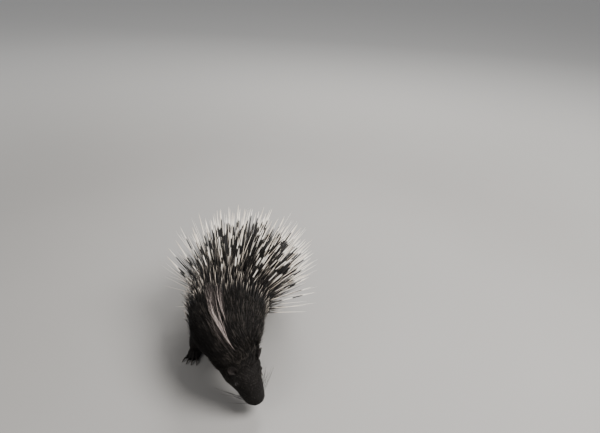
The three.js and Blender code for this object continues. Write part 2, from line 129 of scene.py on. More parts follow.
def smooth_line(points, station):
    """Points on a smooth line through equally numbered stations."""
    points = np.asarray(points, float)
    last = len(points) - 1
    station = np.clip(np.asarray(station, float), 0, last)
    cell = np.minimum(station.astype(int), last - 1)
    w = (station - cell)[..., None]
    padded = np.vstack([2 * points[0] - points[1], points, 2 * points[-1] - points[-2]])
    before, a, b, after = (padded[cell + k] for k in range(4))
    leave, arrive = (b - before) / 2, (after - a) / 2
    cubic = 2 * (a - b) + leave + arrive
    return a + w * (leave + w * (3 * (b - a) - 2 * leave - arrive + w * cubic))


def station_length(station):
    """Millimetres of spine in one station."""
    station = np.asarray(station, float)
    behind, ahead = np.maximum(station - STEP, 0), np.minimum(station + STEP, LAST)
    run = smooth_line(CENTRES, ahead) - smooth_line(CENTRES, behind)
    return np.linalg.norm(run, axis=-1) / (ahead - behind)


def body(station, angle, lift=0.0):
    """The body's surface at a station and an angle from the back's midline, positive to its right."""
    station, angle, lift = np.broadcast_arrays(
        *(np.asarray(x, float) for x in (station, angle, lift))
    )
    near = smooth_line(CENTRES, np.clip(station - STEP, 0, LAST))
    far = smooth_line(CENTRES, np.clip(station + STEP, 0, LAST))
    side = unit(np.cross(far - near, UP))
    up = np.cross(side, unit(far - near))
    half, top, bottom = np.moveaxis(smooth_line(GIRTHS, station), -1, 0)
    high = np.where(np.cos(angle) > 0, top, bottom)
    across = (np.sin(angle) * (half + lift))[..., None] * side
    return smooth_line(CENTRES, station) + across + (np.cos(angle) * (high + lift))[..., None] * up


def lie(station, angle):
    """The body's outward normal and its rearward direction at a place."""
    along = body(station + STEP, angle) - body(station - STEP, angle)
    around = body(station, angle + STEP) - body(station, angle - STEP)
    return unit(np.cross(around, along)), -unit(along)


def head_station(distance):
    """The station on the head at a distance from the occiput."""
    alongs = [row[0] for row in HEAD]
    return OCCIPUT_STATION + np.interp(distance, alongs, range(len(HEAD)))


# Half width and half depth of a leg from its root to the ankle. A foot's length, width, height, number of
# toes, and the share of its length behind the ankle.
FRONT_LEG = [(36, 42), (29, 31), (21, 23), (17, 17), (17, 17)]
FRONT_FOOT = (66, 44, 22, 4, 0.42)
HIND_LEG = [(42, 56), (34, 44), (23, 28), (18, 19), (18, 19)]
HIND_FOOT = (84, 48, 22, 5, 0.3)


def limb_of(sizes, foot, heading, *centres):
    """A limb whose leg goes through some centres, and whose foot heads off by degrees."""
    leg = [(at, *size) for at, size in zip(centres, sizes)]
    return {"leg": leg, "foot": foot, "heading": math.radians(heading)}


FRONT_RIGHT = (-66, -80, 122), (-90, -74, 88), (-108, -64, 54), (-113, -61, 28), (-113, -60, 22)
FRONT_LEFT = (36, -92, 122), (52, -92, 88), (62, -94, 54), (64, -100, 28), (64, -101, 22)
HIND_RIGHT = (-44, 138, 118), (-62, 132, 88), (-74, 146, 56), (-78, 156, 30), (-78, 157, 24)
HIND_LEFT = (66, 156, 118), (72, 158, 88), (68, 180, 56), (64, 196, 30), (64, 197, 24)
LIMBS = {
    "front_right": limb_of(FRONT_LEG, FRONT_FOOT, -14, *FRONT_RIGHT),
    "front_left": limb_of(FRONT_LEG, FRONT_FOOT, 8, *FRONT_LEFT),
    "hind_right": limb_of(HIND_LEG, HIND_FOOT, -10, *HIND_RIGHT),
    "hind_left": limb_of(HIND_LEG, HIND_FOOT, 4, *HIND_LEFT),
}
TOE = {"radius": 6.5, "length": 14, "end": 10.5, "height": 5.2, "set_back": 1.1, "curve": 0.12}
TOE |= {"spread": 0.86, "fan": math.radians(13)}
PAD = {"height": 0.34, "thick": 0.72, "back": 6.5, "short": 5.2}
CLAW = {"reach": 15, "root": 4, "height": 6.4, "drop": 5.9, "raise": 0.28, "half": 3.0, "flat": 0.76}

EYE = {"along": 73, "angle": math.radians(66), "radius": 5.6, "sunk": 2.6}
EAR = {"along": 44, "angle": math.radians(47), "rise": 10.5, "back": 1.7}
EAR |= {"width": 12, "depth": 6.5, "height": 17}
NOSTRIL = {"along": 144, "angle": math.radians(48)}
MOUTH = [(109, math.radians(62)), (121, math.radians(54)), (135, math.radians(42)), (141.5, 0)]


def place_on_head(along, angle, lift=0.0):
    """A place on the head: the point, and the axes across it, ahead and outward."""
    station = head_station(along)
    normal, rear = lie(station, angle)
    return body(station, angle, lift), unit(np.cross(-rear, normal)), -rear, normal


def eye_centre(side):
    at, _, _, normal = place_on_head(EYE["along"], side * EYE["angle"])
    return at - normal * EYE["sunk"]


# The body's own frame is moved so that the origin is under the middle of the part.
EYE_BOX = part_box("eye_right")
SHIFT = np.array(sum(EYE_BOX, Vector()) / 2) / MM - eye_centre(SIDES["right"])
SHIFT[2] = 0


def in_row(points):
    return (points + SHIFT) * MM


# Finishes


class Term:
    """A socket that takes part in sums; each sum adds its Math node."""

    def __init__(self, finish, socket):
        self.finish, self.socket = finish, socket

    def _math(self, operation, *operands):
        return self.finish.node("Math", {"operation": operation}, *operands)

    def __add__(self, other):
        return self._math("ADD", self, other)

    def __sub__(self, other):
        return self._math("SUBTRACT", self, other)

    def __rsub__(self, other):
        return self._math("SUBTRACT", other, self)

    def __mul__(self, other):
        return self._math("MULTIPLY", self, other)

    __radd__ = __add__
    __rmul__ = __mul__


class Finish:
    """A material and the nodes added to it."""

    def __init__(self, name, **constants):
        self.material = bpy.data.materials.new(name)
        self.material.use_nodes = True
        self.tree = self.material.node_tree
        self.shader = self.tree.nodes["Principled BSDF"]
        for socket, value in constants.items():
            self.shader.inputs[socket.replace("_", " ")].default_value = value

    def node(self, kind, settings=None, *inputs, output=0, **named):
        """A new node: its settings first, then the values or links of its sockets, in order or by name."""
        node = self.tree.nodes.new("ShaderNode" + kind)
        settings = dict(settings or {})
        stops = settings.pop("stops", None)
        for setting, value in settings.items():
            setattr(node, setting, value)
        if stops:
            ramp = node.color_ramp
            while len(ramp.elements) < len(stops):
                ramp.elements.new(0.5)
            for element, (position, color) in zip(ramp.elements, stops):
                element.position, element.color = position, (*color, 1)
        for socket, value in [*enumerate(inputs), *((k.replace("_", " "), v) for k, v in named.items())]:
            self._set(node.inputs[socket], value)
        return Term(self, node.outputs[output])

    def _set(self, socket, value):
        if isinstance(value, Term):
            self.tree.links.new(value.socket, socket)
        else:
            socket.default_value = value

    def attribute(self, name):
        return self.node("Attribute", {"attribute_name": name}, output="Fac")

    def place(self):
        return self.node("TexCoord", output="Object")

    def noise(self, scale, detail=3.0, stretch=None):
        vector = self.place()
        if stretch:
            vector = self.node("Mapping", None, Vector=vector, Scale=stretch)
        return self.node("TexNoise", None, Vector=vector, Scale=scale, Detail=detail)

    def ramp(self, value, *stops):
        return self.node("ValToRGB", {"stops": stops}, value)

    def blend(self, share, a, b, mode="MIX"):
        node = self.tree.nodes.new("ShaderNodeMix")
        node.data_type, node.blend_type = "RGBA", mode
        self._set(node.inputs["Factor"], share)
        self._set(node.inputs[6], a if isinstance(a, Term) else (*a, 1))
        self._set(node.inputs[7], b if isinstance(b, Term) else (*b, 1))
        return Term(self, node.outputs[2])

    def bump(self, height, depth, strength=1.0):
        """A bump of a depth in millimetres."""
        return self.node("Bump", None, Strength=strength, Distance=depth * MM, Height=height)

    def feed(self, **links):
        for socket, term in links.items():
            self._set(self.shader.inputs[socket.replace("_", " ")], term)
        return self.material


HAIR_BLACK = (0.003, 0.0025, 0.0021)
HAIR_BROWN = (0.0075, 0.0058, 0.0047)
HAIR_GREY = (0.066, 0.056, 0.047)
SKIN_DARK = (0.0045, 0.0036, 0.0031)
SKIN_BARE = (0.014, 0.0106, 0.0094)
EAR_BARE = (0.045, 0.036, 0.033)
IVORY = (0.8, 0.69, 0.56)
WHITE = (0.91, 0.85, 0.76)
BAND = (0.0045, 0.0036, 0.003)


def hide_finish(name, naked_color):
    """Dark skin with a fine nap; bare and lighter on the nose, lids, ears and soles."""
    f = Finish(name, Specular_IOR_Level=0.2)
    bare = f.attribute("bare")
    mottle = f.noise(90, 4.0)
    nap = f.noise(1400, 2.0, stretch=(1, 0.25, 0.6))
    furred = f.blend(mottle, SKIN_DARK, HAIR_BROWN)
    naked = f.blend(mottle, SKIN_DARK, naked_color)
    pores = f.noise(900, 2.0)
    relief = nap * (1 - bare) + pores * bare * 0.6
    return f.feed(
        Base_Color=f.blend(bare, furred, naked),
        Roughness=0.76 - bare * 0.22 + mottle * 0.1,
        Normal=f.bump(relief, 0.7),
    )


def banded_finish(name, stops, shift, roughness=0.34, plain=None):
    """Horn banded along its length, the bands moved a little from one quill to the next.

    Plain is the share of the quills that are dark up to their ends, and the stops of their colours."""
    f = Finish(name, Specular_IOR_Level=0.22)
    along, chance = f.attribute("along"), f.attribute("chance")
    ragged = f.noise(420, 2.0)
    place = along + (chance - 0.5) * shift + (ragged - 0.5) * 0.05
    color = f.ramp(place, *stops)
    if plain:
        share, dark_stops = plain
        dark = f.node("Math", {"operation": "LESS_THAN"}, chance, share)
        color = f.blend(dark, color, f.ramp(place, *dark_stops))
    stained = f.blend(chance * ragged * 0.5, color, (0.5, 0.4, 0.28), mode="MULTIPLY")
    return f.feed(Base_Color=stained, Roughness=roughness + ragged * 0.16, Normal=f.bump(ragged, 0.12))


def hair_finish(name, root, tip, fleck, share, roughness=0.58, pale_from=(0.35, 0.75)):
    """Hair from root to tip colour; a share of the hairs have their outer part in a fleck colour."""
    f = Finish(name, Specular_IOR_Level=0.12)
    along, chance = f.attribute("along"), f.attribute("chance")
    patches = f.noise(60, 3.0)
    own = f.blend(along * 0.7 + patches * 0.3, root, tip)
    flecked = f.node("Math", {"operation": "GREATER_THAN"}, chance + patches * 0.3, 1.15 - share)
    outer = f.node("MapRange", {"interpolation_type": "SMOOTHSTEP"}, along, *pale_from)
    return f.feed(Base_Color=f.blend(flecked * outer, own, fleck), Roughness=roughness + chance * 0.14)


def horn_finish():
    f = Finish("porcupine_claw", Specular_IOR_Level=0.5)
    along = f.attribute("along")
    grain = f.noise(700, 3.0, stretch=(1, 0.2, 1))
    color = f.blend(along * 0.8 + grain * 0.3, (0.008, 0.006, 0.005), (0.05, 0.039, 0.03))
    return f.feed(Base_Color=color, Roughness=0.36 + grain * 0.2, Normal=f.bump(grain, 0.15))


def eye_finish():
    f = Finish("porcupine_eye", Roughness=0.1, Specular_IOR_Level=0.4)
    depth = f.attribute("along")
    pupil, iris, rim = (0.002, 0.002, 0.002), (0.007, 0.004, 0.003), (0.004, 0.003, 0.0025)
    return f.feed(Base_Color=f.ramp(depth, (0.0, pupil), (0.3, iris), (0.7, rim)))


# Bands along a quill: the share of its length, and the colour there.
LOWER_BANDS = [(0.0, BAND), (0.3, BAND), (0.33, WHITE), (0.5, WHITE)]
UPPER_BANDS = [(0.53, BAND), (0.69, BAND), (0.73, WHITE), (1.0, IVORY)]
DARK_TO_THE_END = [(0.0, BAND), (0.68, BAND), (0.72, WHITE), (1.0, IVORY)]
# The dark quills' colour: partly their own, partly painted shade for the gaps between the pale quills.
DARK_AND_SHADE_BANDS = [(0.0, BAND), (0.7, BAND), (1.0, (0.05, 0.04, 0.033))]
SHORT_BANDS = [(0.0, BAND), (0.62, BAND), (0.74, HAIR_GREY)]
SHORT_BANDS += [(0.92, (0.34, 0.3, 0.26)), (1.0, (0.7, 0.63, 0.54))]
THIN_BANDS = [(0.0, BAND), (0.3, HAIR_BROWN), (0.42, IVORY), (1.0, WHITE)]
TAIL_BANDS = [(0.0, HAIR_BROWN), (0.2, IVORY), (1.0, WHITE)]
# The mane and the face: hair at its root, at its tip, and the pale hairs among it.
MANE_COLORS = ((0.022, 0.017, 0.015), (0.13, 0.105, 0.095), (0.46, 0.38, 0.345))
FACE_COLORS = (HAIR_BLACK, (0.012, 0.0095, 0.008), (0.09, 0.079, 0.07))
FUR_COLORS = (HAIR_BLACK, HAIR_BROWN, HAIR_GREY)

FINISHES = {
    "hide": hide_finish("porcupine_hide", SKIN_BARE),
    "ear": hide_finish("porcupine_ear", EAR_BARE),
    "quill": banded_finish(
        "porcupine_quill", LOWER_BANDS + UPPER_BANDS, shift=0.22, plain=(0.34, DARK_TO_THE_END)
    ),
    "dark_quill": banded_finish("porcupine_dark_quill", DARK_AND_SHADE_BANDS, shift=0.2, roughness=0.42),
    "short_quill": banded_finish("porcupine_short_quill", SHORT_BANDS, shift=0.5, roughness=0.46),
    "thin_quill": banded_finish("porcupine_thin_quill", THIN_BANDS, shift=0.24),
    "tail_quill": banded_finish("porcupine_tail_quill", TAIL_BANDS, shift=0.2),
    "bristle": hair_finish("porcupine_bristle", *FUR_COLORS, share=0.24),
    "mane": hair_finish("porcupine_mane", *MANE_COLORS, share=0.58, pale_from=(0.05, 0.35)),
    "fur": hair_finish("porcupine_fur", *FUR_COLORS, share=0.22, roughness=0.62),
    "face": hair_finish("porcupine_face_fur", *FACE_COLORS, share=0.26, roughness=0.6),
    "whisker": hair_finish(
        "porcupine_whisker", HAIR_BLACK, HAIR_BLACK, HAIR_BROWN, share=0.3, roughness=0.4
    ),
    "claw": horn_finish(),
    "eye": eye_finish(),
}


# Pieces


def finish_piece(name, mesh, finish, replaced=()):
    """An object at the origin that rides with the body, wears a finish and stands for CAD nodes."""
    piece = bpy.data.objects.new(name, mesh)
    bpy.context.scene.collection.objects.link(piece)
    mesh.materials.append(FINISHES[finish])
    mesh.shade_smooth()
    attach(piece, BODY)
    if replaced:
        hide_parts(*replaced)
    return piece


def moved(place, verts):
    """Moves vertices to where place() puts them, all at once."""
    points = np.array([v.co for v in verts])
    for v, point in zip(verts, place(points)):
        v.co = point


def ball_of(bm, place, section):
    """A ball of some segments and rings, its points moved to where place() puts them."""
    made = bmesh.ops.create_uvsphere(bm, u_segments=section[0], v_segments=section[1], radius=1)
    moved(place, made["verts"])


def ball(bm, centre, radii, axes, section=(24, 16)):
    """A ball drawn out to three radii along three axes."""
    ball_of(bm, lambda p: centre + (p * radii) @ np.array(axes), section)


def new_mesh(name, bm):
    """The mesh of a bmesh, which is freed."""
    mesh = bpy.data.meshes.new(name)
    bm.to_mesh(mesh)
    bm.free()
    return mesh


def set_values(mesh, name, values):
    mesh.attributes.new(name, "FLOAT", "POINT").data.foreach_set("value", np.float32(values).ravel())


def mesh_points(mesh):
    points = np.empty(len(mesh.vertices) * 3)
    mesh.vertices.foreach_get("co", points)
    return points.reshape(-1, 3)


# The skin

COAT_DEPTH = {"body": 2.5, "limb": 3.0, "foot": 1.2}
VOXEL = 3.1
SMOOTHING = {"factor": 0.5, "iterations": 5}
LEG_SECTION = (32, 48)
BODY_SECTION = (128, 260)
PAD_SECTION = (32, 20)
TAPER = {"body": 20, "leg": 9}  # the length over the stretch in which an end rounds off
ANKLE = {"radii": (14.5, 16, 17), "height": 0.5}
MOUTH_POINTS = 80
# Relief of the head: distance from the occiput, angle, rise and reach; alike on both sides.
RELIEF = [
    (58, 104, 2.6, 17),  # cheek
    (66, 44, 1.6, 11),  # brow
    (74, 66, 1.9, 9),  # around the eye
    (90, 72, -2.2, 10),  # below and ahead of the eye
    (96, 0, 1.6, 22),  # nose bridge
    (126, 84, 2.6, 13),  # whisker pad
    (134, 18, 1.5, 9),  # above the nostril
    (130, 180, 1.8, 12),  # chin
    (38, 62, -2.0, 12),  # in front of the ear
]


def foot_shape(limb):
    """Where a foot's sole and toes lie."""
    length, width, height, toes, heel = limb["foot"]
    (x, y, _), *_ = limb["leg"][-1]

    def towards(turn):
        return np.array([math.sin(limb["heading"] + turn), -math.cos(limb["heading"] + turn), 0.0])

    ahead = towards(0)
    across = np.cross(ahead, UP)
    sole = np.array([x, y, 0.0]) + ahead * length * (0.5 - heel)
    rows = []
    for i in range(toes):
        place = i - (toes - 1) / 2
        reach = length / 2 - TOE["length"] * (TOE["set_back"] + TOE["curve"] * place**2)
        root = sole + ahead * reach + across * place * width * TOE["spread"] / toes
        rows.append((root + UP * TOE["height"], towards(-place * TOE["fan"])))
    return sole, ahead, across, rows


def limb_surface(limb, depth, share, turn):
    """A limb's surface at a share of its length from the root and an angle round it."""
    rows = limb["leg"]
    t = share * (len(rows) - 1)
    centre = smooth_line([row[0] for row in rows], t)
    sizes = smooth_line([row[1:] for row in rows], t) - depth
    run = unit(
        smooth_line([row[0] for row in rows], np.minimum(t + STEP, len(rows) - 1))
        - smooth_line([row[0] for row in rows], np.maximum(t - STEP, 0))
    )
    side = unit(np.cross(np.array([0.0, -1.0, 0.0]), run))
    front = np.cross(run, side)
    across = (np.sin(turn) * sizes[..., 0])[..., None] * side
    return centre + across + (np.cos(turn) * sizes[..., 1])[..., None] * front, run


def skin_forms():
    """The forms that the skin is drawn over: body, legs, feet and toes."""
    bm = bmesh.new()

    def on_body(p):
        share = np.arccos(np.clip(p[:, 2], -1, 1)) / math.pi
        shrunk = -COAT_DEPTH["body"] * np.clip(np.minimum(share, 1 - share) * TAPER["body"], 0, 1)
        return body(share * LAST, np.arctan2(p[:, 0], p[:, 1]), shrunk)

    ball_of(bm, on_body, BODY_SECTION)
    for limb in LIMBS.values():

        def on_leg(p):
            share = np.arccos(np.clip(p[:, 2], -1, 1)) / math.pi
            from_end = np.minimum(share, 1 - share) * TAPER["leg"]
            round_end = np.where(from_end > 1, 1, np.sqrt(np.clip(1 - (1 - from_end) ** 2, 0, 1)))
            at, _ = limb_surface(limb, COAT_DEPTH["limb"], share, np.arctan2(p[:, 0], p[:, 1]))
            middle = smooth_line([row[0] for row in limb["leg"]], share * (len(limb["leg"]) - 1))
            return middle + (at - middle) * round_end[:, None]

        ball_of(bm, on_leg, LEG_SECTION)
        length, width, height, _, _ = limb["foot"]
        sole, ahead, across, toes = foot_shape(limb)
        inset = COAT_DEPTH["foot"]
        pad = sole + UP * height * PAD["height"] - ahead * PAD["back"]
        radii = (width / 2 - inset, length / 2 - PAD["short"] - inset, height * PAD["thick"] - inset)
        ball(bm, pad, radii, (across, ahead, UP), PAD_SECTION)
        ankle = np.array(limb["leg"][-1][0])
        ball(bm, ankle * [1, 1, ANKLE["height"]], ANKLE["radii"], (across, ahead, UP))
        for root, line in toes:
            radii = (TOE["radius"] - inset, TOE["length"] - inset, TOE["radius"] - inset)
            ball(bm, root, radii, (np.cross(line, UP), line, UP))
    bmesh.ops.recalc_face_normals(bm, faces=bm.faces)
    return bm


def evaluated(bm, modifiers):
    """The mesh of a bmesh after modifiers, given as type and settings."""
    mesh = new_mesh("forms", bm)
    holder = bpy.data.objects.new("forms", mesh)
    bpy.context.scene.collection.objects.link(holder)
    for kind, settings in modifiers:
        modifier = holder.modifiers.new(kind.lower(), kind)
        for setting, value in settings.items():
            setattr(modifier, setting, value)
    depsgraph = bpy.context.evaluated_depsgraph_get()
    result = bpy.data.meshes.new_from_object(holder.evaluated_get(depsgraph))
    bpy.data.objects.remove(holder)
    bpy.data.meshes.remove(mesh)
    return result


def mouth_line():
    """The line of the mouth, from corner to corner under the muzzle."""
    right = [body(head_station(along), math.pi - below) for along, below in MOUTH]
    left = [body(head_station(along), math.pi + below) for along, below in MOUTH[-2::-1]]
    return smooth_line(right + left, np.linspace(0, 2 * len(MOUTH) - 2, MOUTH_POINTS))


def distance_to(points, line):
    """Each point's distance to the nearest of a line's points."""
    tree = KDTree(len(line))
    for i, p in enumerate(line):
        tree.insert(p, i)
    tree.balance()
    return np.array([tree.find(p)[2] for p in points])


def finer(bm, pick):
    """Divides the faces whose centres are picked."""
    centres = np.array([f.calc_center_median() for f in bm.faces])
    edges = dict.fromkeys(e for f, yes in zip(bm.faces, pick(centres)) if yes for e in f.edges)
    bmesh.ops.subdivide_edges(bm, edges=list(edges), cuts=1, use_grid_fill=True, smooth=0)


def picked_verts(bm, pick):
    """The vertices that are picked, and their places and normals."""
    bm.normal_update()
    verts = [v for v, yes in zip(bm.verts, pick(np.array([v.co for v in bm.verts]))) if yes]
    return verts, np.array([v.co for v in verts]), np.array([v.normal for v in verts])


def hump(away, reach):
    """1 in the middle, falling to nothing past a reach."""
    return np.exp(-((away / reach) ** 2))


GROOVE = {"behind": 9.0, "length": 24.0, "depth": 2.6, "half": 1.7}
KNUCKLE = {"ahead": -3.0, "rise": 1.1, "reach": 4.2}
TOE_AREA = {"reach": 17.0, "top": 24, "sole": 1.5, "fade": 3}


def sculpt_feet(bm):
    """Parts the toes with grooves and raises their knuckles; the toes' faces are made finer first."""
    toes = [foot_shape(limb)[3] for limb in LIMBS.values()]
    roots = np.array([root for foot in toes for root, _ in foot])
    knuckles = [root + line * KNUCKLE["ahead"] for foot in toes for root, line in foot]
    grooves = []
    for foot in toes:
        for (root, line), (next_root, next_line) in zip(foot, foot[1:]):
            towards = unit(line + next_line)
            grooves.append(((root + next_root) / 2 - towards * GROOVE["behind"], towards))

    def on_toes(p):
        picked = p[:, 2] < TOE_AREA["top"]
        picked[picked] = distance_to(p[picked] * [1, 1, 0], roots * [1, 1, 0]) < TOE_AREA["reach"]
        return picked

    finer(bm, on_toes)
    verts, p, normal = picked_verts(bm, on_toes)
    lift = np.zeros(len(p))
    for start, towards in grooves:
        along = np.clip((p - start) @ towards, 0, GROOVE["length"])[:, None]
        away = np.linalg.norm((p - start - along * towards)[:, :2], axis=1)
        lift -= GROOVE["depth"] * hump(away, GROOVE["half"])
    for centre in knuckles:
        away = np.linalg.norm((p - centre)[:, :2], axis=1)
        lift += KNUCKLE["rise"] * hump(away, KNUCKLE["reach"]) * (normal[:, 2] > 0)
    lift *= np.clip((p[:, 2] - TOE_AREA["sole"]) / TOE_AREA["fade"], 0, 1)
    for v, point in zip(verts, p + normal * lift[:, None]):
        v.co = point


# How far the finer faces reach: the head, and round an eye, a nostril, the muzzle and its mouth.
HEAD_AREA = {"from": 14, "reach": 190, "eye": 13, "nostril": 11, "muzzle": 45, "mouth": 5, "lips": 48}
SOCKET = {"ring": 7.2, "ring_rise": 0.8, "ring_reach": 2.6, "open": 5.7, "edge": 1.4, "deep": 4.5}
NOSTRIL |= {"bow": 0.05, "half": 1.7, "long": 4.6, "out": 6, "deep": 3.6, "edge": 1.25}
NOSTRIL |= {"rim": 1.75, "rim_rise": 0.8, "rim_reach": 0.5}
LIPS = {"away": 3.2, "rise": 1.3, "reach": 2.0, "deep": 2.6, "half": 1.1}
CLEFT = {"from": 141.5, "to": 150, "points": 14, "deep": 1.8, "half": 1.2}
FAR = 99.0


def within(p, centre, reach):
    return np.linalg.norm(p - centre, axis=1) < reach


def sculpt_head(bm):
    """Gives the head its relief, eye sockets, nostrils and mouth; its faces are made finer first."""
    eyes = [eye_centre(side) for side in SIDES.values()]
    nostrils = [place_on_head(NOSTRIL["along"], side * NOSTRIL["angle"]) for side in SIDES.values()]
    mouth = mouth_line()
    muzzle = mouth[len(mouth) // 2]

    def on_head(p):
        ahead = (p - OCCIPUT) @ HEAD_LINE > HEAD_AREA["from"]
        return ahead & within(p, OCCIPUT, HEAD_AREA["reach"])

    def detail(p):
        picked = within(p, eyes[0], HEAD_AREA["eye"]) | within(p, eyes[1], HEAD_AREA["eye"])
        for at, *_ in nostrils:
            picked |= within(p, at, HEAD_AREA["nostril"])
        rough = within(p, muzzle, HEAD_AREA["muzzle"])
        picked[rough] |= distance_to(p[rough], mouth) < HEAD_AREA["mouth"]
        return picked

    finer(bm, on_head)
    verts, _, _ = picked_verts(bm, on_head)
    for _ in range(3):
        bmesh.ops.smooth_vert(bm, verts=verts, factor=0.5, use_axis_x=True, use_axis_y=True, use_axis_z=True)
    finer(bm, detail)
    verts, p, normal = picked_verts(bm, on_head)
    lift = np.zeros(len(p))
    for along, angle, rise, reach in RELIEF:
        for side in {1, -1} if angle % 180 else {1}:
            centre = body(head_station(along), side * math.radians(angle))
            lift += rise * hump(np.linalg.norm(p - centre, axis=1), reach)
    for centre in eyes:
        away = np.linalg.norm(p - centre, axis=1)
        lift += SOCKET["ring_rise"] * hump(away - SOCKET["ring"], SOCKET["ring_reach"])
        lift -= SOCKET["deep"] * np.clip((SOCKET["open"] - away) / SOCKET["edge"], 0, 1)
    for at, across, ahead, out in nostrils:
        x, y, z = ((p - at) @ axis for axis in (across, ahead, out))
        bend = x - NOSTRIL["bow"] * y**2
        inside = (bend / NOSTRIL["half"]) ** 2 + (y / NOSTRIL["long"]) ** 2 + (z / NOSTRIL["out"]) ** 2
        lift -= NOSTRIL["deep"] * np.clip(NOSTRIL["edge"] - inside, 0, 1)
        lift += NOSTRIL["rim_rise"] * hump(np.sqrt(inside) - NOSTRIL["rim"], NOSTRIL["rim_reach"])
    away = np.full(len(p), FAR)
    low = within(p, muzzle, HEAD_AREA["lips"])
    away[low] = distance_to(p[low], mouth)
    lift += LIPS["rise"] * hump(away - LIPS["away"], LIPS["reach"]) - LIPS["deep"] * hump(away, LIPS["half"])
    # The cleft of the upper lip runs from the mouth up to between the nostrils.
    cleft = body(head_station(np.linspace(CLEFT["from"], CLEFT["to"], CLEFT["points"])), math.pi)
    lift -= CLEFT["deep"] * hump(distance_to(p, cleft), CLEFT["half"])
    for v, point in zip(verts, p + normal * lift[:, None]):
        v.co = point


def make_skin():
    steps = [
        ("REMESH", {"mode": "VOXEL", "voxel_size": VOXEL, "use_smooth_shade": True}),
        ("SMOOTH", SMOOTHING),
    ]
    mesh = evaluated(skin_forms(), steps)
    bm = bmesh.new()
    bm.from_mesh(mesh)
    sculpt_head(bm)
    sculpt_feet(bm)
    for v in bm.verts:
        v.co.z = max(v.co.z, 0.0)
    bmesh.ops.recalc_face_normals(bm, faces=bm.faces)
    bm.to_mesh(mesh)
    bm.free()
    return mesh


SKIN = make_skin()


# Where on the animal a place of the skin is, and which way its hair lies


# Kinds of place: the body, then the legs in order, then the feet in order.
ON_BODY = 0
FIRST_LEG = 1
FIRST_FOOT = FIRST_LEG + len(LIMBS)
# Places along and around that are sampled, and where along they start and end.
BODY_SAMPLES = {"along": 230, "around": 72, "from": 0.2, "to": LAST - 0.1}
LEG_SAMPLES = {"along": 30, "around": 25, "from": 0.3, "to": 1}
FOOT_SAMPLES = {"along": 21, "around": 25, "from": -1, "to": 1}
HANG = 0.35  # how far the hair of the legs turns back, and that of the feet down
FOOT_TOP = 0.6  # against the foot's height


def sampled(samples):
    """Places along and around a form, as two flat lists."""
    along = np.linspace(samples["from"], samples["to"], samples["along"])
    around = np.linspace(-math.pi, math.pi, samples["around"])[:-1]
    return (grid.ravel() for grid in np.meshgrid(along, around))


def guide_samples():
    """Samples of the body, legs and feet: point, hair's direction, kind, two places in its own unwrap."""
    samples = []
    stations, angles = sampled(BODY_SAMPLES)
    _, rear = lie(stations, angles)
    at = body(stations, angles, -COAT_DEPTH["body"])
    samples.append((at, rear, np.full(len(angles), ON_BODY), stations, angles))
    for k, limb in enumerate(LIMBS.values()):
        share, turn = sampled(LEG_SAMPLES)
        at, run = limb_surface(limb, COAT_DEPTH["limb"], share, turn)
        hung = unit(run + np.array([0.0, HANG, 0.0]))
        samples.append((at, hung, np.full(len(turn), FIRST_LEG + k), share, turn))
        length, width, height, _, _ = limb["foot"]
        sole, ahead, across, _ = foot_shape(limb)
        y, turn = sampled(FOOT_SAMPLES)
        r = np.sqrt(np.maximum(1 - y**2, 0))
        at = sole + UP * height * PAD["height"] + ahead * (y * length / 2)[:, None]
        at = at + across * (r * np.sin(turn) * width / 2)[:, None]
        at = at + UP * (r * np.cos(turn) * height * FOOT_TOP)[:, None]
        lead = np.broadcast_to(unit(ahead - UP * HANG), at.shape)
        samples.append((at, lead, np.full(len(turn), FIRST_FOOT + k), y, turn))
    return [np.concatenate(column) for column in zip(*samples)]


SAMPLES = guide_samples()
SAMPLE_TREE = KDTree(len(SAMPLES[0]))
for index, sample in enumerate(SAMPLES[0]):
    SAMPLE_TREE.insert(sample, index)
SAMPLE_TREE.balance()


def located(points):
    """Kind, two places of its unwrap and hair direction for points on the skin."""
    nearest = np.array([SAMPLE_TREE.find(p)[1] for p in points])
    _, lead, kind, first, second = SAMPLES
    return kind[nearest], first[nearest], second[nearest], lead[nearest]


# The unwrap of the skin: where each box starts, and its reach.
UNWRAP = {"body_across": (0.01, 0.97), "body_up": (0.34, 0.64), "limb_across": (0.02, 0.95)}
UNWRAP |= {"leg_up": (0.17, 0.14), "foot_up": (0.08, 0.07)}


def in_box(name, share):
    start, reach = UNWRAP[name]
    return start + reach * share


def patch_of(kind, first, second):
    """A place on the unwrap of the skin: the body above, the legs and feet in boxes below."""
    turn = (second + math.pi) / (2 * math.pi)
    limb = (kind - FIRST_LEG) % len(LIMBS)
    beside = (limb + in_box("limb_across", turn)) / len(LIMBS)
    below = np.where(kind < FIRST_FOOT, in_box("leg_up", first), in_box("foot_up", first))
    u = np.where(kind == ON_BODY, in_box("body_across", turn), beside)
    v = np.where(kind == ON_BODY, in_box("body_up", first / LAST), below)
    return np.stack([u, v], 1)


def face_data(mesh):
    """Centres and normals of a mesh's faces."""
    centre = np.empty(len(mesh.polygons) * 3)
    normal = np.empty(len(mesh.polygons) * 3)
    mesh.polygons.foreach_get("center", centre)
    mesh.polygons.foreach_get("normal", normal)
    return centre.reshape(-1, 3), normal.reshape(-1, 3)


CELL_KEYS = np.array([73856093, 19349663, 83492791])  # large primes: they give each cube its own number
ROOT = {"stray": 0.5, "sink": 0.3, "digits": 2}


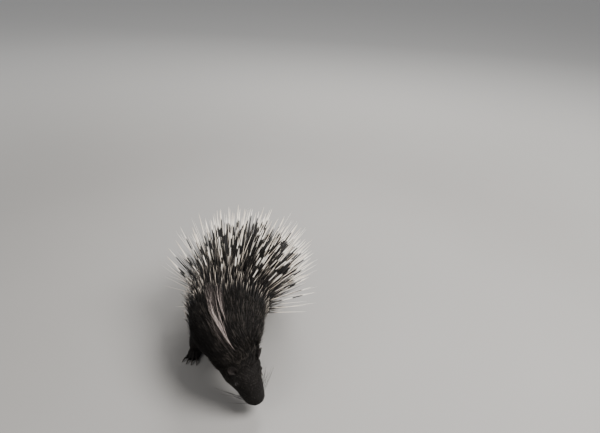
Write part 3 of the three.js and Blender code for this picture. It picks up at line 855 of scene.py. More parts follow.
class Roots:
    """Places on the skin where hair may grow."""

    def __init__(self, at, normal, kind, first, second, lead):
        self.at, self.normal, self.kind, self.first, self.second = at, normal, kind, first, second
        self.lead = unit(lead - normal * np.sum(lead * normal, 1, keepdims=True))

    def pick(self, chosen):
        columns = (self.at, self.normal, self.kind, self.first, self.second, self.lead)
        return Roots(*(column[chosen] for column in columns))

    def spaced(self, spacing):
        """About one place in each cube of a side."""
        order = draw.permutation(len(self.at))
        cells = np.floor(self.at[order] / spacing).astype(np.int64)
        _, chosen = np.unique(cells @ CELL_KEYS, return_index=True)
        return self.pick(np.sort(order[chosen]))

    def patches(self):
        return patch_of(self.kind, self.first, self.second)


def skin_roots():
    """A place near the middle of each of the skin's faces, in an order that is not the mesh's own."""
    at, normal = face_data(SKIN)
    order = np.lexsort(np.round(at, ROOT["digits"]).T)
    at, normal = at[order], normal[order]
    at = at + draw.normal(0, ROOT["stray"], at.shape)
    at = at - normal * ROOT["sink"]
    return Roots(at, normal, *located(at))


EYES = [eye_centre(side) for side in SIDES.values()]
NOSE = CENTRES[-1]


def eye_distance(points):
    return np.min([np.linalg.norm(points - eye, axis=1) for eye in EYES], axis=0)


ROOTS = skin_roots()
HEAD_DISTANCE = (ROOTS.at - OCCIPUT) @ HEAD_LINE


# Strands: spikes of few sides, made once by operators and set many times

NEAR_TIP = 0.999


class Strand:
    """A closed spike of unit length: rings at shares of it, their half widths, and how flat the spike is."""

    def __init__(self, sides, cuts, profile, flat=1):
        self.profile, self.flat = np.array(profile), flat
        bm = bmesh.new()
        upright = Matrix.Translation((0, 0, 0.5))
        bmesh.ops.create_cone(
            bm, cap_ends=True, segments=sides, radius1=1, radius2=1, depth=1, matrix=upright
        )
        for cut in cuts:
            whole = bm.verts[:] + bm.edges[:] + bm.faces[:]
            bmesh.ops.bisect_plane(bm, geom=whole, plane_co=(0, 0, cut), plane_no=(0, 0, 1))
        bmesh.ops.pointmerge(bm, verts=[v for v in bm.verts if v.co.z > NEAR_TIP], merge_co=(0, 0, 1))
        bmesh.ops.recalc_face_normals(bm, faces=bm.faces)
        bm.verts.index_update()
        self.shares = np.array([0.0, *cuts, 1.0])
        points = np.array([v.co for v in bm.verts])
        self.ring = np.argmin(np.abs(points[:, 2:] - self.shares), axis=1)
        self.turn = np.arctan2(points[:, 0], points[:, 1])
        self.loops = np.array([v.index for f in bm.faces for v in f.verts])
        sizes = [len(f.verts) for f in bm.faces]
        self.starts = np.concatenate([[0], np.cumsum(sizes)[:-1]])
        self.triangles = sum(size - 2 for size in sizes)
        bm.free()


MOST_TRIANGLES = 190_000
PATCH = 0.003
PROUD = 0.012  # how far hair and quills may stand proud of the solids' box
FLOOR_GAP = 0.25  # and how far they are kept above the floor


def kept_in(lines):
    """The lines, shortened towards their roots where they stand too far proud of the solids' box."""
    low, high = (np.array(corner) for corner in CAD_BOX)
    at = in_row(lines)
    root = at[:, :1]
    run = at - root
    room = np.where(run > 0, high + PROUD - root, low - PROUD - root)
    share = np.divide(room, run, out=np.ones_like(run), where=np.abs(run) > 1e-9)
    share = np.clip(share.min(axis=(1, 2)), 0, 1)
    return lines[:, :1] + (lines - lines[:, :1]) * share[:, None, None]


def strands(name, shape, lines, facing, width, patches, finish, slot, replaced=(), tone=None):
    """Strands along lines of one point per ring, each with its own width and facing its own way."""
    lines = kept_in(lines)
    run = unit(np.gradient(lines, axis=1))
    across = unit(np.cross(run, facing[:, None, :]))
    out = np.cross(across, run)
    ring = shape.ring
    half = (width[:, None] * shape.profile[None, :])[:, ring]
    offset = across[:, ring] * (np.sin(shape.turn) * half)[..., None]
    offset += out[:, ring] * (np.cos(shape.turn) * half * shape.flat)[..., None]
    points = lines[:, ring] + offset
    points[..., 2] = np.maximum(points[..., 2], FLOOR_GAP)
    chance = draw.random(len(lines)) if tone is None else tone
    per_piece = MOST_TRIANGLES // shape.triangles
    pieces = math.ceil(len(lines) / per_piece)
    for k in range(pieces):
        part = slice(k * per_piece, (k + 1) * per_piece)
        mesh = joined(shape, points[part], chance[part], None if patches is None else patches[part])
        piece_name = name if pieces == 1 else f"{name}_{k + 1}"
        finish_piece(piece_name, mesh, finish, replaced if k == 0 else ())
    print(name, len(lines), "strands", len(lines) * shape.triangles, "triangles")


def joined(shape, points, chance, patches):
    """One mesh of many like strands. Each vertex knows its share of the length and its strand's chance."""
    count, each = points.shape[:2]
    first = each * np.arange(count)[:, None]
    mesh = bpy.data.meshes.new("strands")
    mesh.vertices.add(count * each)
    mesh.vertices.foreach_set("co", in_row(points).ravel())
    mesh.loops.add(count * len(shape.loops))
    mesh.loops.foreach_set("vertex_index", (shape.loops + first).ravel().astype(np.int32))
    mesh.polygons.add(count * len(shape.starts))
    starts = shape.starts + len(shape.loops) * np.arange(count)[:, None]
    mesh.polygons.foreach_set("loop_start", starts.ravel().astype(np.int32))
    mesh.update(calc_edges=True)
    share = np.broadcast_to(shape.shares[shape.ring], (count, each))
    set_values(mesh, "along", share)
    set_values(mesh, "chance", np.broadcast_to(chance[:, None], (count, each)))
    if patches is None:
        return mesh
    spread = np.stack([shape.turn / (2 * math.pi), shape.shares[shape.ring] - 0.5], 1) * PATCH
    corners = patches[:, None, :] + spread[shape.loops][None]
    mesh.uv_layers.new(name="OFBake").data.foreach_set("uv", corners.astype(np.float32).ravel())
    return mesh


def bent(shape, root, lead, length, bend):
    """Lines that leave a root along a direction and bend more and more."""
    t = shape.shares[None, :, None]
    bend = np.broadcast_to(bend, root.shape)[:, None]
    return root[:, None] + lead[:, None] * length[:, None, None] * t + bend * t**2


def uneven(count, share):
    return 1 + draw.uniform(-share, share, count)


ROW_SHIFT = 0.25  # of a place; every other row is shifted by the rest of it

def rows(start, end, pitch, spread, jitter=0.35):
    """Stations and angles in staggered, uneven rows. Spread is how far they reach round, by station."""
    places, shift, station = [], ROW_SHIFT, start
    while station < end:
        radius = smooth_line(GIRTHS, station)[0]
        reach = np.interp(station, *spread)
        count = max(1, round(2 * reach * radius / pitch))
        angle = -reach + 2 * reach * (np.arange(count) + shift) / count
        angle = angle + draw.uniform(-jitter, jitter, count) * pitch / radius
        at = station + draw.uniform(-jitter, jitter, count) * pitch / station_length(station)
        places.append(np.stack([np.clip(at, start, end), angle], 1))
        station += pitch / station_length(station)
        shift = 1 - shift
    return np.concatenate(places).T


def thinned(places, share):
    """The places of which each stays by a chance of its own."""
    return places[:, draw.random(places.shape[1]) < share]


# Quills

QUILL_STATIONS = [3.3, 4, 5, 6, 7, 8, 8.6, 9.1]
QUILL_LENGTHS = [72, 112, 134, 137, 139, 142, 120, 72]
QUILL_LEANS = np.radians([14, 22, 36, 52, 49, 34, 28, 30])
# From side to side: the share of that length, and how far they turn up. The right flank's stand out most.
QUILL_SIDES = np.radians([-112, -57, 0, 29, 57, 86, 112])
QUILL_SHARES = [0.93, 1.08, 1, 1.03, 1.2, 1.25, 1]
QUILL_RISES = [0.22, 0.25, 0.36, 0.3, 0.02, -0.05, -0.05]
QUILL_BOW = 0.07
QUILL_SINK = 5.0
QUILL_UNEVEN = 0.17
# By station: how far round the body the stout quills grow, less far at the shoulders, and their half widths.
QUILL_SPREAD = ([3.3, 7.0, 8.0, 8.6, 9.1], np.radians([112, 112, 96, 74, 58]))
QUILL_WIDTHS = ([3.3, 5, 8, 9.1], [1.84, 2.3, 2.3, 1.495])
# By angle: the share of places that keep a stout quill or a thin one, and the thin ones' length.
QUILLS_KEPT = ([-1.4, -0.5, 0.5, 1.1], [1, 0.85, 0.85, 0.5])
THIN_KEPT = ([0.6, 1.3], [0.35, 0.9])
THIN_STRETCH = ([0.6, 1.3], [1.06, 1.2])
DARK_STRETCH = (0.52, 0.78)
QUILL_SHAPE = Strand(6, (0.1, 0.35, 0.62, 0.82, 0.94), (0.55, 0.85, 1.0, 0.88, 0.52, 0.24, 0))
THIN_SHAPE = Strand(4, (0.12, 0.35, 0.6, 0.85), (0.8, 1.0, 1.0, 0.85, 0.5, 0))


def out_to(degrees):
    """A spread that is the same at every station."""
    return [0], [math.radians(degrees)]


def quill_lines(shape, station, angle, stretch=1.0, stray=0.12, droop=0.0):
    """Lines of quills at places on the back, raised and leaning back as the tables say."""
    length = np.interp(station, QUILL_STATIONS, QUILL_LENGTHS)
    lean = np.interp(station, QUILL_STATIONS, QUILL_LEANS)
    normal, rear = lie(station, angle)
    aside = np.cross(normal, rear)
    count = len(station)
    back = np.sin(lean) + draw.uniform(-stray, stray, count)
    lead = normal * np.cos(lean)[:, None] + rear * back[:, None]
    rise = np.interp(angle, QUILL_SIDES, QUILL_RISES) * np.abs(np.sin(angle))
    lead = unit(lead + UP * rise[:, None] + aside * draw.uniform(-stray, stray, count)[:, None])
    reach = length * np.interp(angle, QUILL_SIDES, QUILL_SHARES) * uneven(count, QUILL_UNEVEN) * stretch
    root = body(station, angle, -QUILL_SINK)
    bow = rear * (QUILL_BOW * reach)[:, None] - UP * (droop * reach)[:, None]
    return bent(shape, root, lead, reach + QUILL_SINK, bow), aside


def grow_quills(name, shape, station, angle, half, share, finish, **manner):
    """Quills of one sort at places on the back, their half width uneven by a share."""
    lines, facing = quill_lines(shape, station, angle, **manner)
    width = half * uneven(len(station), share)
    patches = patch_of(ON_BODY, station, angle)
    strands(name, shape, lines, facing, width, patches, finish, "quilled_hide")


def make_quills():
    """Stout banded quills."""
    places = rows(start=3.3, end=9.0, pitch=20, spread=QUILL_SPREAD, jitter=0.5)
    station, angle = thinned(places, np.interp(places[1], *QUILLS_KEPT))
    half = np.interp(station, *QUILL_WIDTHS)
    grow_quills("quills", QUILL_SHAPE, station, angle, half, share=0.25, finish="quill")


def make_dark_quills():
    """Slender dark quills, shorter than the pale ones, that fill the dark mass between them: partly real dark
    quills, partly painted shade for the gaps between the pale quills.
    """
    station, angle = rows(start=3.6, end=9.2, pitch=10.5, spread=QUILL_SPREAD, jitter=0.5)
    manner = {"half": 1.05, "share": 0.3, "finish": "dark_quill"}
    stretch = draw.uniform(*DARK_STRETCH, len(station))
    grow_quills("dark_quills", THIN_SHAPE, station, angle, stretch=stretch, **manner)


def make_thin_quills():
    """Long thin pale quills, mostly on the flanks."""
    places = rows(start=4.2, end=9.0, pitch=25, spread=out_to(112))
    station, angle = thinned(places, np.interp(np.abs(places[1]), *THIN_KEPT))
    manner = {"half": 0.85, "share": 0.3, "finish": "thin_quill", "stray": 0.2, "droop": 0.05}
    stretch = np.interp(np.abs(angle), *THIN_STRETCH)
    grow_quills("thin_quills", THIN_SHAPE, station, angle, stretch=stretch, **manner)


# Short spines in rows: their lean and length by station, and the depth of their roots.
SPINES = {
    # Stiff bristles with pale ends, where the quills pass into the coat of the shoulders.
    "shoulder_quills": {
        "rows": {"start": 8.5, "end": 10.0, "pitch": 7.5, "spread": out_to(104)},
        "lean": ([8.5, 10.1], np.radians([38, 66])),
        "length": ([8.7, 10.1], [74, 46]),
        "sink": 4,
        "bow": 0.1,
        "half": 0.8,
        "uneven": 0.3,
        "look": ("short_quill", "bristly_hide"),
    },
    # White spines of the tail.
    "tail_spines": {
        "rows": {"start": 0.25, "end": 2.9, "pitch": 6.0, "spread": out_to(130)},
        "lean": ([0], [math.radians(56)]),
        "length": ([0.25, 2.9], [44, 52]),
        "sink": 3,
        "bow": 0.08,
        "half": 1.0,
        "uneven": 0.25,
        "look": ("tail_quill", "quilled_hide"),
    },
}
SPINE_STRAY = {"lean": 0.15, "lead": 0.06, "length": 0.2}


def make_spines(name):
    sort = SPINES[name]
    station, angle = rows(**sort["rows"])
    normal, rear = lie(station, angle)
    count = len(station)
    lean = np.interp(station, *sort["lean"]) + draw.uniform(-SPINE_STRAY["lean"], SPINE_STRAY["lean"], count)
    lead = normal * np.cos(lean)[:, None] + rear * np.sin(lean)[:, None]
    lead = unit(lead + draw.normal(0, SPINE_STRAY["lead"], (count, 3)))
    length = np.interp(station, *sort["length"]) * uneven(count, SPINE_STRAY["length"])
    root = body(station, angle, -sort["sink"])
    lines = bent(THIN_SHAPE, root, lead, length, rear * (length * sort["bow"])[:, None])
    width = sort["half"] * uneven(count, sort["uneven"])
    patches = patch_of(ON_BODY, station, angle)
    strands(name, THIN_SHAPE, lines, np.cross(normal, rear), width, patches, *sort["look"])


# Bristles, mane and fur

HAIR_SHAPE = Strand(3, (0.3, 0.7), (0.9, 1.0, 0.7, 0), flat=0.45)
FUR_SHAPE = Strand(3, (0.5,), (1.0, 0.85, 0), flat=0.45)
LONG_CUTS = (0.15, 0.35, 0.55, 0.75, 0.9)
LONG_PROFILE = (0.7, 1.0, 1.0, 0.85, 0.6, 0.35, 0)
MANE_SHAPE = Strand(4, LONG_CUTS, LONG_PROFILE, flat=0.7)
WHISKER_SHAPE = Strand(4, LONG_CUTS, LONG_PROFILE)
BRISTLE_RISE = ([8.9, 10.2, 13], [0.42, 0.22, 0.16])
COATS = {
    # shape, spacing of the roots, half width, rise by station, size of the tufts and their pull, finish, slot
    "bristles": (HAIR_SHAPE, 3.0, 0.66, BRISTLE_RISE, (10, 0.65), "bristle", "bristly_hide"),
    "undercoat": (HAIR_SHAPE, 5.0, 0.75, ([0], [0.6]), (15, 0.5), "bristle", "quilled_hide"),
    "belly_fur": (HAIR_SHAPE, 4.0, 0.75, ([0], [0.22]), (11, 0.6), "fur", "bristly_hide"),
    "crown_fur": (FUR_SHAPE, 2.4, 0.5, ([0], [0.22]), (7, 0.5), "fur", "bristly_hide"),
    "face_fur": (FUR_SHAPE, 1.6, 0.36, ([0], [0.24]), (5, 0.4), "face", "bristly_hide"),
    "leg_fur": (FUR_SHAPE, 2.9, 0.6, ([0], [0.24]), (8, 0.5), "fur", "bristly_hide"),
    "foot_fur": (FUR_SHAPE, 2.0, 0.36, ([0], [0.25]), (4, 0.3), "fur", "foot_skin"),
    "ear_fur": (FUR_SHAPE, 1.5, 0.26, ([0], [0.4]), (4, 0.3), "fur", "ear_skin"),
}
HAIR_UNEVEN = {"length": 0.25, "rise": 0.35, "lead": 0.07, "width": 0.3}
HAIR_BEND = {"settle": 0.1, "droop": 0.04, "sink": 0.6}


def clumped(roots, lead, length, spacing, share):
    """Directions turned so that the tips of neighbours draw together."""
    guides = roots.spaced(spacing).at
    tree = KDTree(len(guides))
    for i, p in enumerate(guides):
        tree.insert(p, i)
    tree.balance()
    nearest = guides[[tree.find(p)[1] for p in roots.at]]
    pull = (nearest - roots.at) * share
    return unit(lead * length[:, None] + pull)


def coat_roots(coat, places, chosen):
    """The chosen places, as far apart as the coat's hairs are rooted."""
    return places.pick(chosen).spaced(COATS[coat][1])


def lay_hair(name, roots, length, tone=None, coat=None):
    """Hair on the skin along its lie, rising by an angle at the root and settling towards the tip."""
    shape, _, half, rises, clump, finish, slot = COATS[coat or name]
    count = len(roots.at)
    length = length * uneven(count, HAIR_UNEVEN["length"])
    rise = np.interp(roots.first, *rises) * uneven(count, HAIR_UNEVEN["rise"])
    lead = roots.lead * np.cos(rise)[:, None] + roots.normal * np.sin(rise)[:, None]
    lead = unit(lead + draw.normal(0, HAIR_UNEVEN["lead"], (count, 3)))
    lead = clumped(roots, lead, length, *clump)
    bend = -roots.normal * (length * HAIR_BEND["settle"])[:, None]
    bend = bend - UP * (length * HAIR_BEND["droop"])[:, None]
    lines = bent(shape, roots.at - roots.normal * HAIR_BEND["sink"], lead, length, bend)
    width = half * uneven(count, HAIR_UNEVEN["width"])
    strands(name, shape, lines, roots.normal, width, roots.patches(), finish, slot, tone=tone)


# Where coats begin and end: stations, angles from the back's midline, and millimetres from the occiput.
SHOULDER = 8.9
UNDERCOAT_FROM = 2.5
BELLY_FROM = 1.5
BACK_DOWN_TO = 2.05
CHEST_DOWN_TO = 2.45
NECK_TO = 30
CROWN_FROM, CROWN_TO = 5, 52
FACE_FROM = 48
BALD = {"eye": 6.9, "nose": 10, "sole": 2.2}
# Lengths of hair, by angle, by station, by distance from the occiput or the eye, or by height.
BRISTLES_ROUND = ([0, 1.2, 2.0, 2.45], [46, 40, 30, 20])
BRISTLES_ALONG = ([8.9, 10.5, 12.5, 14.2], [1.05, 1, 0.85, 0.5])
UNDERCOAT_ALONG = ([2.5, 4], [17, 34])
BELLY_ROUND = ([2.0, 2.6], [24, 14])
CROWN_ALONG = ([5, 30, 52], [26, 17, 11])
FACE_ALONG = ([48, 80, 110, 140], [11, 8.5, 6.5, 3])
FACE_BY_EYES = ([7, 18], [0.35, 1])
LEG_BY_HEIGHT = ([20, 60, 100], [7, 12, 18])
FOOT_BY_HEIGHT = ([2, 20], [2.5, 5.5])
# Fewer pale hairs on the right flank, as painted shade for the side away from the light: the chance of a pale
# one, by angle.
SHADED_FLANK_PALE_ROUND = ([0.7, 1.15], [1, 0.7])

ON_TRUNK = (ROOTS.kind == ON_BODY) & (HEAD_DISTANCE < NECK_TO)
AT_FRONT = ROOTS.first > SHOULDER
FROM_MIDLINE = np.abs(ROOTS.second)


def make_bristles():
    """Coarse bristles of the shoulders, neck, chest and throat, and the darker coat under the quills."""
    front = coat_roots("bristles", ROOTS, ON_TRUNK & AT_FRONT & (FROM_MIDLINE < CHEST_DOWN_TO))
    length = np.interp(np.abs(front.second), *BRISTLES_ROUND) * np.interp(front.first, *BRISTLES_ALONG)
    # Fewer pale flecks on the right flank: painted shade for the side away from the light.
    tone = draw.random(len(front.at)) * np.interp(front.second, *SHADED_FLANK_PALE_ROUND)
    lay_hair("bristles", front, length, tone)
    behind = ON_TRUNK & ~AT_FRONT & (ROOTS.first > UNDERCOAT_FROM)
    under = coat_roots("undercoat", ROOTS, behind & (FROM_MIDLINE < BACK_DOWN_TO))
    lay_hair("undercoat", under, np.interp(under.first, *UNDERCOAT_ALONG))


def make_belly():
    edge = np.where(AT_FRONT, CHEST_DOWN_TO, BACK_DOWN_TO)
    roots = coat_roots("belly_fur", ROOTS, ON_TRUNK & (ROOTS.first > BELLY_FROM) & (FROM_MIDLINE >= edge))
    lay_hair("belly_fur", roots, np.interp(np.abs(roots.second), *BELLY_ROUND))


def make_head_fur():
    on_head = (ROOTS.kind == ON_BODY) & (HEAD_DISTANCE >= CROWN_FROM)
    on_head &= (eye_distance(ROOTS.at) > BALD["eye"]) & ~within(ROOTS.at, NOSE, BALD["nose"])
    crown = coat_roots("crown_fur", ROOTS, on_head & (HEAD_DISTANCE < CROWN_TO))
    lay_hair("crown_fur", crown, np.interp((crown.at - OCCIPUT) @ HEAD_LINE, *CROWN_ALONG))
    face = coat_roots("face_fur", ROOTS, on_head & (HEAD_DISTANCE >= FACE_FROM))
    length = np.interp((face.at - OCCIPUT) @ HEAD_LINE, *FACE_ALONG)
    lay_hair("face_fur", face, length * np.interp(eye_distance(face.at), *FACE_BY_EYES))


def make_limb_fur():
    legs = coat_roots("leg_fur", ROOTS, (ROOTS.kind >= FIRST_LEG) & (ROOTS.kind < FIRST_FOOT))
    lay_hair("leg_fur", legs, np.interp(legs.at[:, 2], *LEG_BY_HEIGHT))
    feet = coat_roots("foot_fur", ROOTS, (ROOTS.kind >= FIRST_FOOT) & (ROOTS.at[:, 2] > BALD["sole"]))
    lay_hair("foot_fur", feet, np.interp(feet.at[:, 2], *FOOT_BY_HEIGHT))


# The mane: bundles of long pale hair from the crown and nape, falling to the animal's right.
MANE_BUNDLES = [
    # station, angle at the root and at the tip, length, hairs, brightness
    (13.2, 15, 18, 36, 4, 0.75),
    (13.0, 14, 20, 46, 6, 0.95),
    (12.7, 14, 22, 56, 7, 1.0),
    (12.35, 17, 23, 62, 7, 1.0),
    (11.9, 20, 23, 68, 7, 0.85),
    (11.4, 22, 23, 72, 6, 0.62),
    (10.8, 23, 25, 76, 6, 0.48),
    (10.3, 22, 30, 78, 6, 0.42),
    (12.95, 22, 28, 34, 4, 0.42),
    (12.6, 26, 34, 42, 4, 0.36),
    (11.9, 8, 7, 66, 5, 0.46),
    (11.4, 7, 8, 74, 6, 0.54),
    (10.8, 8, 12, 80, 7, 0.56),
    (10.3, 10, 17, 84, 7, 0.54),
    (10.6, 15, 22, 80, 6, 0.5),
    (10.0, 19, 30, 78, 6, 0.44),
]
MANE = {"half": 0.37, "uneven": 0.3, "sink": 2, "height": 15, "settle": 0.2, "wave": 0.03, "waves": 3}
MANE_STRAY = {"station": 0.13, "bright": 0.035, "dull": 0.07, "length": 0.25, "fall": 0.06, "height": 0.2}
MANE_TONES = (0.2, 1)
DULL = 0.6  # bundles no brighter than this are looser


def make_mane():
    shares = MANE_SHAPE.shares[None, :]
    lines, facing, patches, tone = [], [], [], []
    for station, angle, fall, length, hairs, bright in MANE_BUNDLES:
        own = station + draw.normal(0, MANE_STRAY["station"], hairs)[:, None]
        stray = MANE_STRAY["bright" if bright > DULL else "dull"]
        turned = math.radians(angle) + draw.normal(0, stray, hairs)[:, None]
        reach = length * uneven(hairs, MANE_STRAY["length"])[:, None]
        at = own - shares * reach / station_length(station)
        loose = draw.normal(0, MANE_STRAY["fall"], hairs)[:, None]
        turn = turned + (math.radians(fall) + loose - turned) * shares
        turn = turn + MANE["wave"] * np.sin(MANE["waves"] * shares + own)
        high = MANE["height"] * (1 + draw.normal(0, MANE_STRAY["height"], hairs)[:, None])
        height = high * np.sqrt(shares) * (1 - MANE["settle"] * shares**2) - MANE["sink"]
        lines.append(body(at, turn, height))
        facing.append(lie(own[:, 0], turned[:, 0])[0])
        patches.append(patch_of(ON_BODY, own[:, 0], turned[:, 0]))
        tone.append(bright * draw.uniform(*MANE_TONES, hairs))
    lines, facing, patches, tone = (np.concatenate(x) for x in (lines, facing, patches, tone))
    width = MANE["half"] * uneven(len(lines), MANE["uneven"])
    strands("mane", MANE_SHAPE, lines, facing, width, patches, "mane", "bristly_hide", tone=tone)


# Whiskers on each side: where they root, how far back they lean, and their length and bow.
WHISKERS = {"count": 16, "along": (112, 136), "angle": (58, 108), "back": (0.8, 1.7), "stray": 0.1}
WHISKERS |= {"length": (34, 76), "sink": 3, "bow": 0.22, "droop": 0.06, "half": 0.27, "uneven": 0.2}


def make_whiskers():
    count = WHISKERS["count"]
    lines, facing, patches = [], [], []
    for side in SIDES.values():
        along = draw.uniform(*WHISKERS["along"], count)
        angle = side * np.radians(draw.uniform(*WHISKERS["angle"], count))
        station = head_station(along)
        normal, rear = lie(station, angle)
        lead = normal + rear * draw.uniform(*WHISKERS["back"], count)[:, None]
        lead = unit(lead + draw.normal(0, WHISKERS["stray"], (count, 3)))
        length = draw.uniform(*WHISKERS["length"], count)
        root = body(station, angle, -WHISKERS["sink"])
        bow = (rear * WHISKERS["bow"] - UP * WHISKERS["droop"]) * length[:, None]
        lines.append(bent(WHISKER_SHAPE, root, lead, length, bow))
        facing.append(np.cross(normal, rear))
        patches.append(patch_of(ON_BODY, station, angle))
    lines, facing, patches = (np.concatenate(x) for x in (lines, facing, patches))
    width = WHISKERS["half"] * uneven(len(lines), WHISKERS["uneven"])
    strands("whiskers", WHISKER_SHAPE, lines, facing, width, patches, "whisker", "bristly_hide")


# Hollow rattle quills on thin stalks at the end of the tail
RATTLE_SHAPE = Strand(8, (0.3, 0.42, 0.5, 0.7, 0.9), (0.18, 0.2, 0.45, 1.0, 1.0, 0.95, 0))
RATTLES = {"count": 22, "station": (0.15, 1.2), "angle": (-2.6, 2.6), "out": 0.35, "back": (0.7, 1.0)}
RATTLES |= {"length": (38, 50), "sink": 3, "droop": 3, "half": (2.0, 2.6)}


def make_rattles():
    count = RATTLES["count"]
    station = draw.uniform(*RATTLES["station"], count)
    angle = draw.uniform(*RATTLES["angle"], count)
    normal, rear = lie(station, angle)
    lead = unit(normal * RATTLES["out"] + rear * draw.uniform(*RATTLES["back"], count)[:, None])
    length = draw.uniform(*RATTLES["length"], count)
    root = body(station, angle, -RATTLES["sink"])
    lines = bent(RATTLE_SHAPE, root, lead, length, -UP * RATTLES["droop"])
    width = draw.uniform(*RATTLES["half"], count)
    patches = patch_of(ON_BODY, station, angle)
    facing = np.cross(normal, rear)
    strands("tail_rattles", RATTLE_SHAPE, lines, facing, width, patches, "tail_quill", "quilled_hide")


# Skin, ears, lids, eyes and claws

# Bare skin: the distance where it begins, the stretch over which it grows, and how bare it gets.
BARE = {"nose": (16, 10, 1), "rims": (7.6, 2, 0.5), "soles": (3.0, 2, 1)}


def bare_skin(points):
    """How bare the skin is: the nose, the rims of the eyes, and the soles."""
    away = {
        "nose": np.linalg.norm(points - NOSE, axis=1),
        "rims": eye_distance(points),
        "soles": points[:, 2],
    }
    grown = [np.clip((at - away[place]) / fade, 0, most) for place, (at, fade, most) in BARE.items()]
    return np.max(grown, axis=0)


def place_mesh(mesh):
    """Takes a mesh from the body's own millimetres to the row frame's metres."""
    points = mesh_points(mesh)
    mesh.vertices.foreach_set("co", in_row(points).ravel())
    mesh.update()
    return points


def dress_skin():
    points = place_mesh(SKIN)
    set_values(SKIN, "bare", bare_skin(points))
    flesh = ["tail", "torso_rear", "torso_front", "neck", "head"]
    flesh += [f"{limb}_{part}" for limb in LIMBS for part in ("leg", "foot")]
    finish_piece("skin", SKIN, "hide", flesh)
    print("skin", len(SKIN.polygons), "faces")


def ear_axes(side):
    at, _, ahead, normal = place_on_head(EAR["along"], side * EAR["angle"])
    up = unit(normal - ahead * EAR["back"])
    face = unit(ahead - up * (ahead @ up))
    return at + up * EAR["rise"], (np.cross(face, up), face, up)


# The ear's shell in shares of its size: its narrowing below, its hollow, rim and inner fold, and its front.
SHELL = {"narrow": 0.35, "hollow": 0.8, "bowl": 0.97, "front_wide": 0.93, "front_high": 0.94, "gap": 0.02}
SHELL |= {"rim": 0.16, "rim_at": 0.92, "rim_reach": 0.06}
SHELL |= {"fold": 0.3, "fold_at": 0.6, "fold_reach": 0.11, "fold_above": 0.35}
SHELL_CURL = 1.5  # millimetres at the sides
EAR_SECTION = (56, 40)
# Fur stands where the ear faces back or is near its rim, and on a small share of the hollow.
EAR_FURRED = {"facing": 0.2, "edge": 0.78, "share": 0.06, "length": 5.2, "uneven": 0.2}


def make_ears():
    for side_name, side in SIDES.items():
        centre, axes = ear_axes(side)
        bm = bmesh.new()

        def pinna(p):
            """A shell, round at the top and narrow below, hollowed from its front, with a rolled rim."""
            x, y, z = p.T
            narrow = np.where(z < 0, 1 - SHELL["narrow"] * z**2, 1)
            front = y > 0
            edge = np.sqrt(np.clip(x**2 + z**2, 0, 1))
            rim = SHELL["rim"] * hump(edge - SHELL["rim_at"], SHELL["rim_reach"])
            fold = SHELL["fold"] * hump(edge - SHELL["fold_at"], SHELL["fold_reach"])
            fold *= np.clip(z + SHELL["fold_above"], 0, 1)
            bowl = SHELL["hollow"] * np.sqrt(np.clip(1 - (edge * SHELL["bowl"]) ** 2, 0, 1))
            wide = x * EAR["width"] * narrow * np.where(front, SHELL["front_wide"], 1)
            deep = np.where(front, rim + fold - bowl + SHELL["gap"], y) * EAR["depth"] + SHELL_CURL * x**2
            high = z * EAR["height"] * np.where(front, SHELL["front_high"], 1)
            return centre + np.stack([wide, deep, high], 1) @ np.array(axes)

        ball_of(bm, pinna, EAR_SECTION)
        bmesh.ops.recalc_face_normals(bm, faces=bm.faces)
        mesh = new_mesh("ear", bm)
        at, normal = face_data(mesh)
        count = len(at)
        edge = np.hypot((at - centre) @ axes[0] / EAR["width"], (at - centre) @ axes[2] / EAR["height"])
        upward = np.broadcast_to(axes[2], at.shape)
        station, angle = np.full(count, head_station(EAR["along"])), np.full(count, side * EAR["angle"])
        places = Roots(at, normal, np.full(count, ON_BODY), station, angle, upward)
        furred = (normal @ axes[1] < EAR_FURRED["facing"]) | (edge > EAR_FURRED["edge"])
        roots = coat_roots("ear_fur", places, furred | (draw.random(count) < EAR_FURRED["share"]))
        length = EAR_FURRED["length"] * uneven(len(roots.at), EAR_FURRED["uneven"])
        lay_hair(f"ear_fur_{side_name}", roots, length, coat="ear_fur")
        place_mesh(mesh)
        set_values(mesh, "bare", np.ones(len(mesh.vertices)))
        finish_piece(f"ear_{side_name}_skin", mesh, "ear", [f"ear_{side_name}"])


EYE_SECTION = (40, 28)
CORNEA = {"rise": 0.35, "from": 0.72}  # the rise in millimetres, from a share of the radius


def make_eyes():
    for side_name, side in SIDES.items():
        _, across, ahead, normal = place_on_head(EYE["along"], side * EYE["angle"])
        centre = eye_centre(side)

        def eyeball(p):
            rise = CORNEA["rise"] * np.clip((p[:, 2:] - CORNEA["from"]) / (1 - CORNEA["from"]), 0, 1)
            return centre + (p * (EYE["radius"] + rise)) @ np.array([across, ahead, normal])

        bm = bmesh.new()
        ball_of(bm, eyeball, EYE_SECTION)
        bmesh.ops.recalc_face_normals(bm, faces=bm.faces)
        mesh = new_mesh("eye", bm)
        points = place_mesh(mesh)
        set_values(mesh, "along", np.arccos(np.clip(unit(points - centre) @ normal, -1, 1)) / (math.pi / 2))
        finish_piece(f"eye_{side_name}_ball", mesh, "eye", [f"eye_{side_name}"])


# The lids: the slit's half opening along and across the head, their outer edge, and how far they stand proud.
LID = {"long": math.radians(57), "high": math.radians(42), "outer": math.radians(104), "corner": 1.6}
LID |= {"clear": 0.12, "over": 1.15, "droop": 0.12, "turns": 72, "rings": 20}
LID |= {"thin": 0.65, "thicker_above": 0.3, "weld": 0.002}


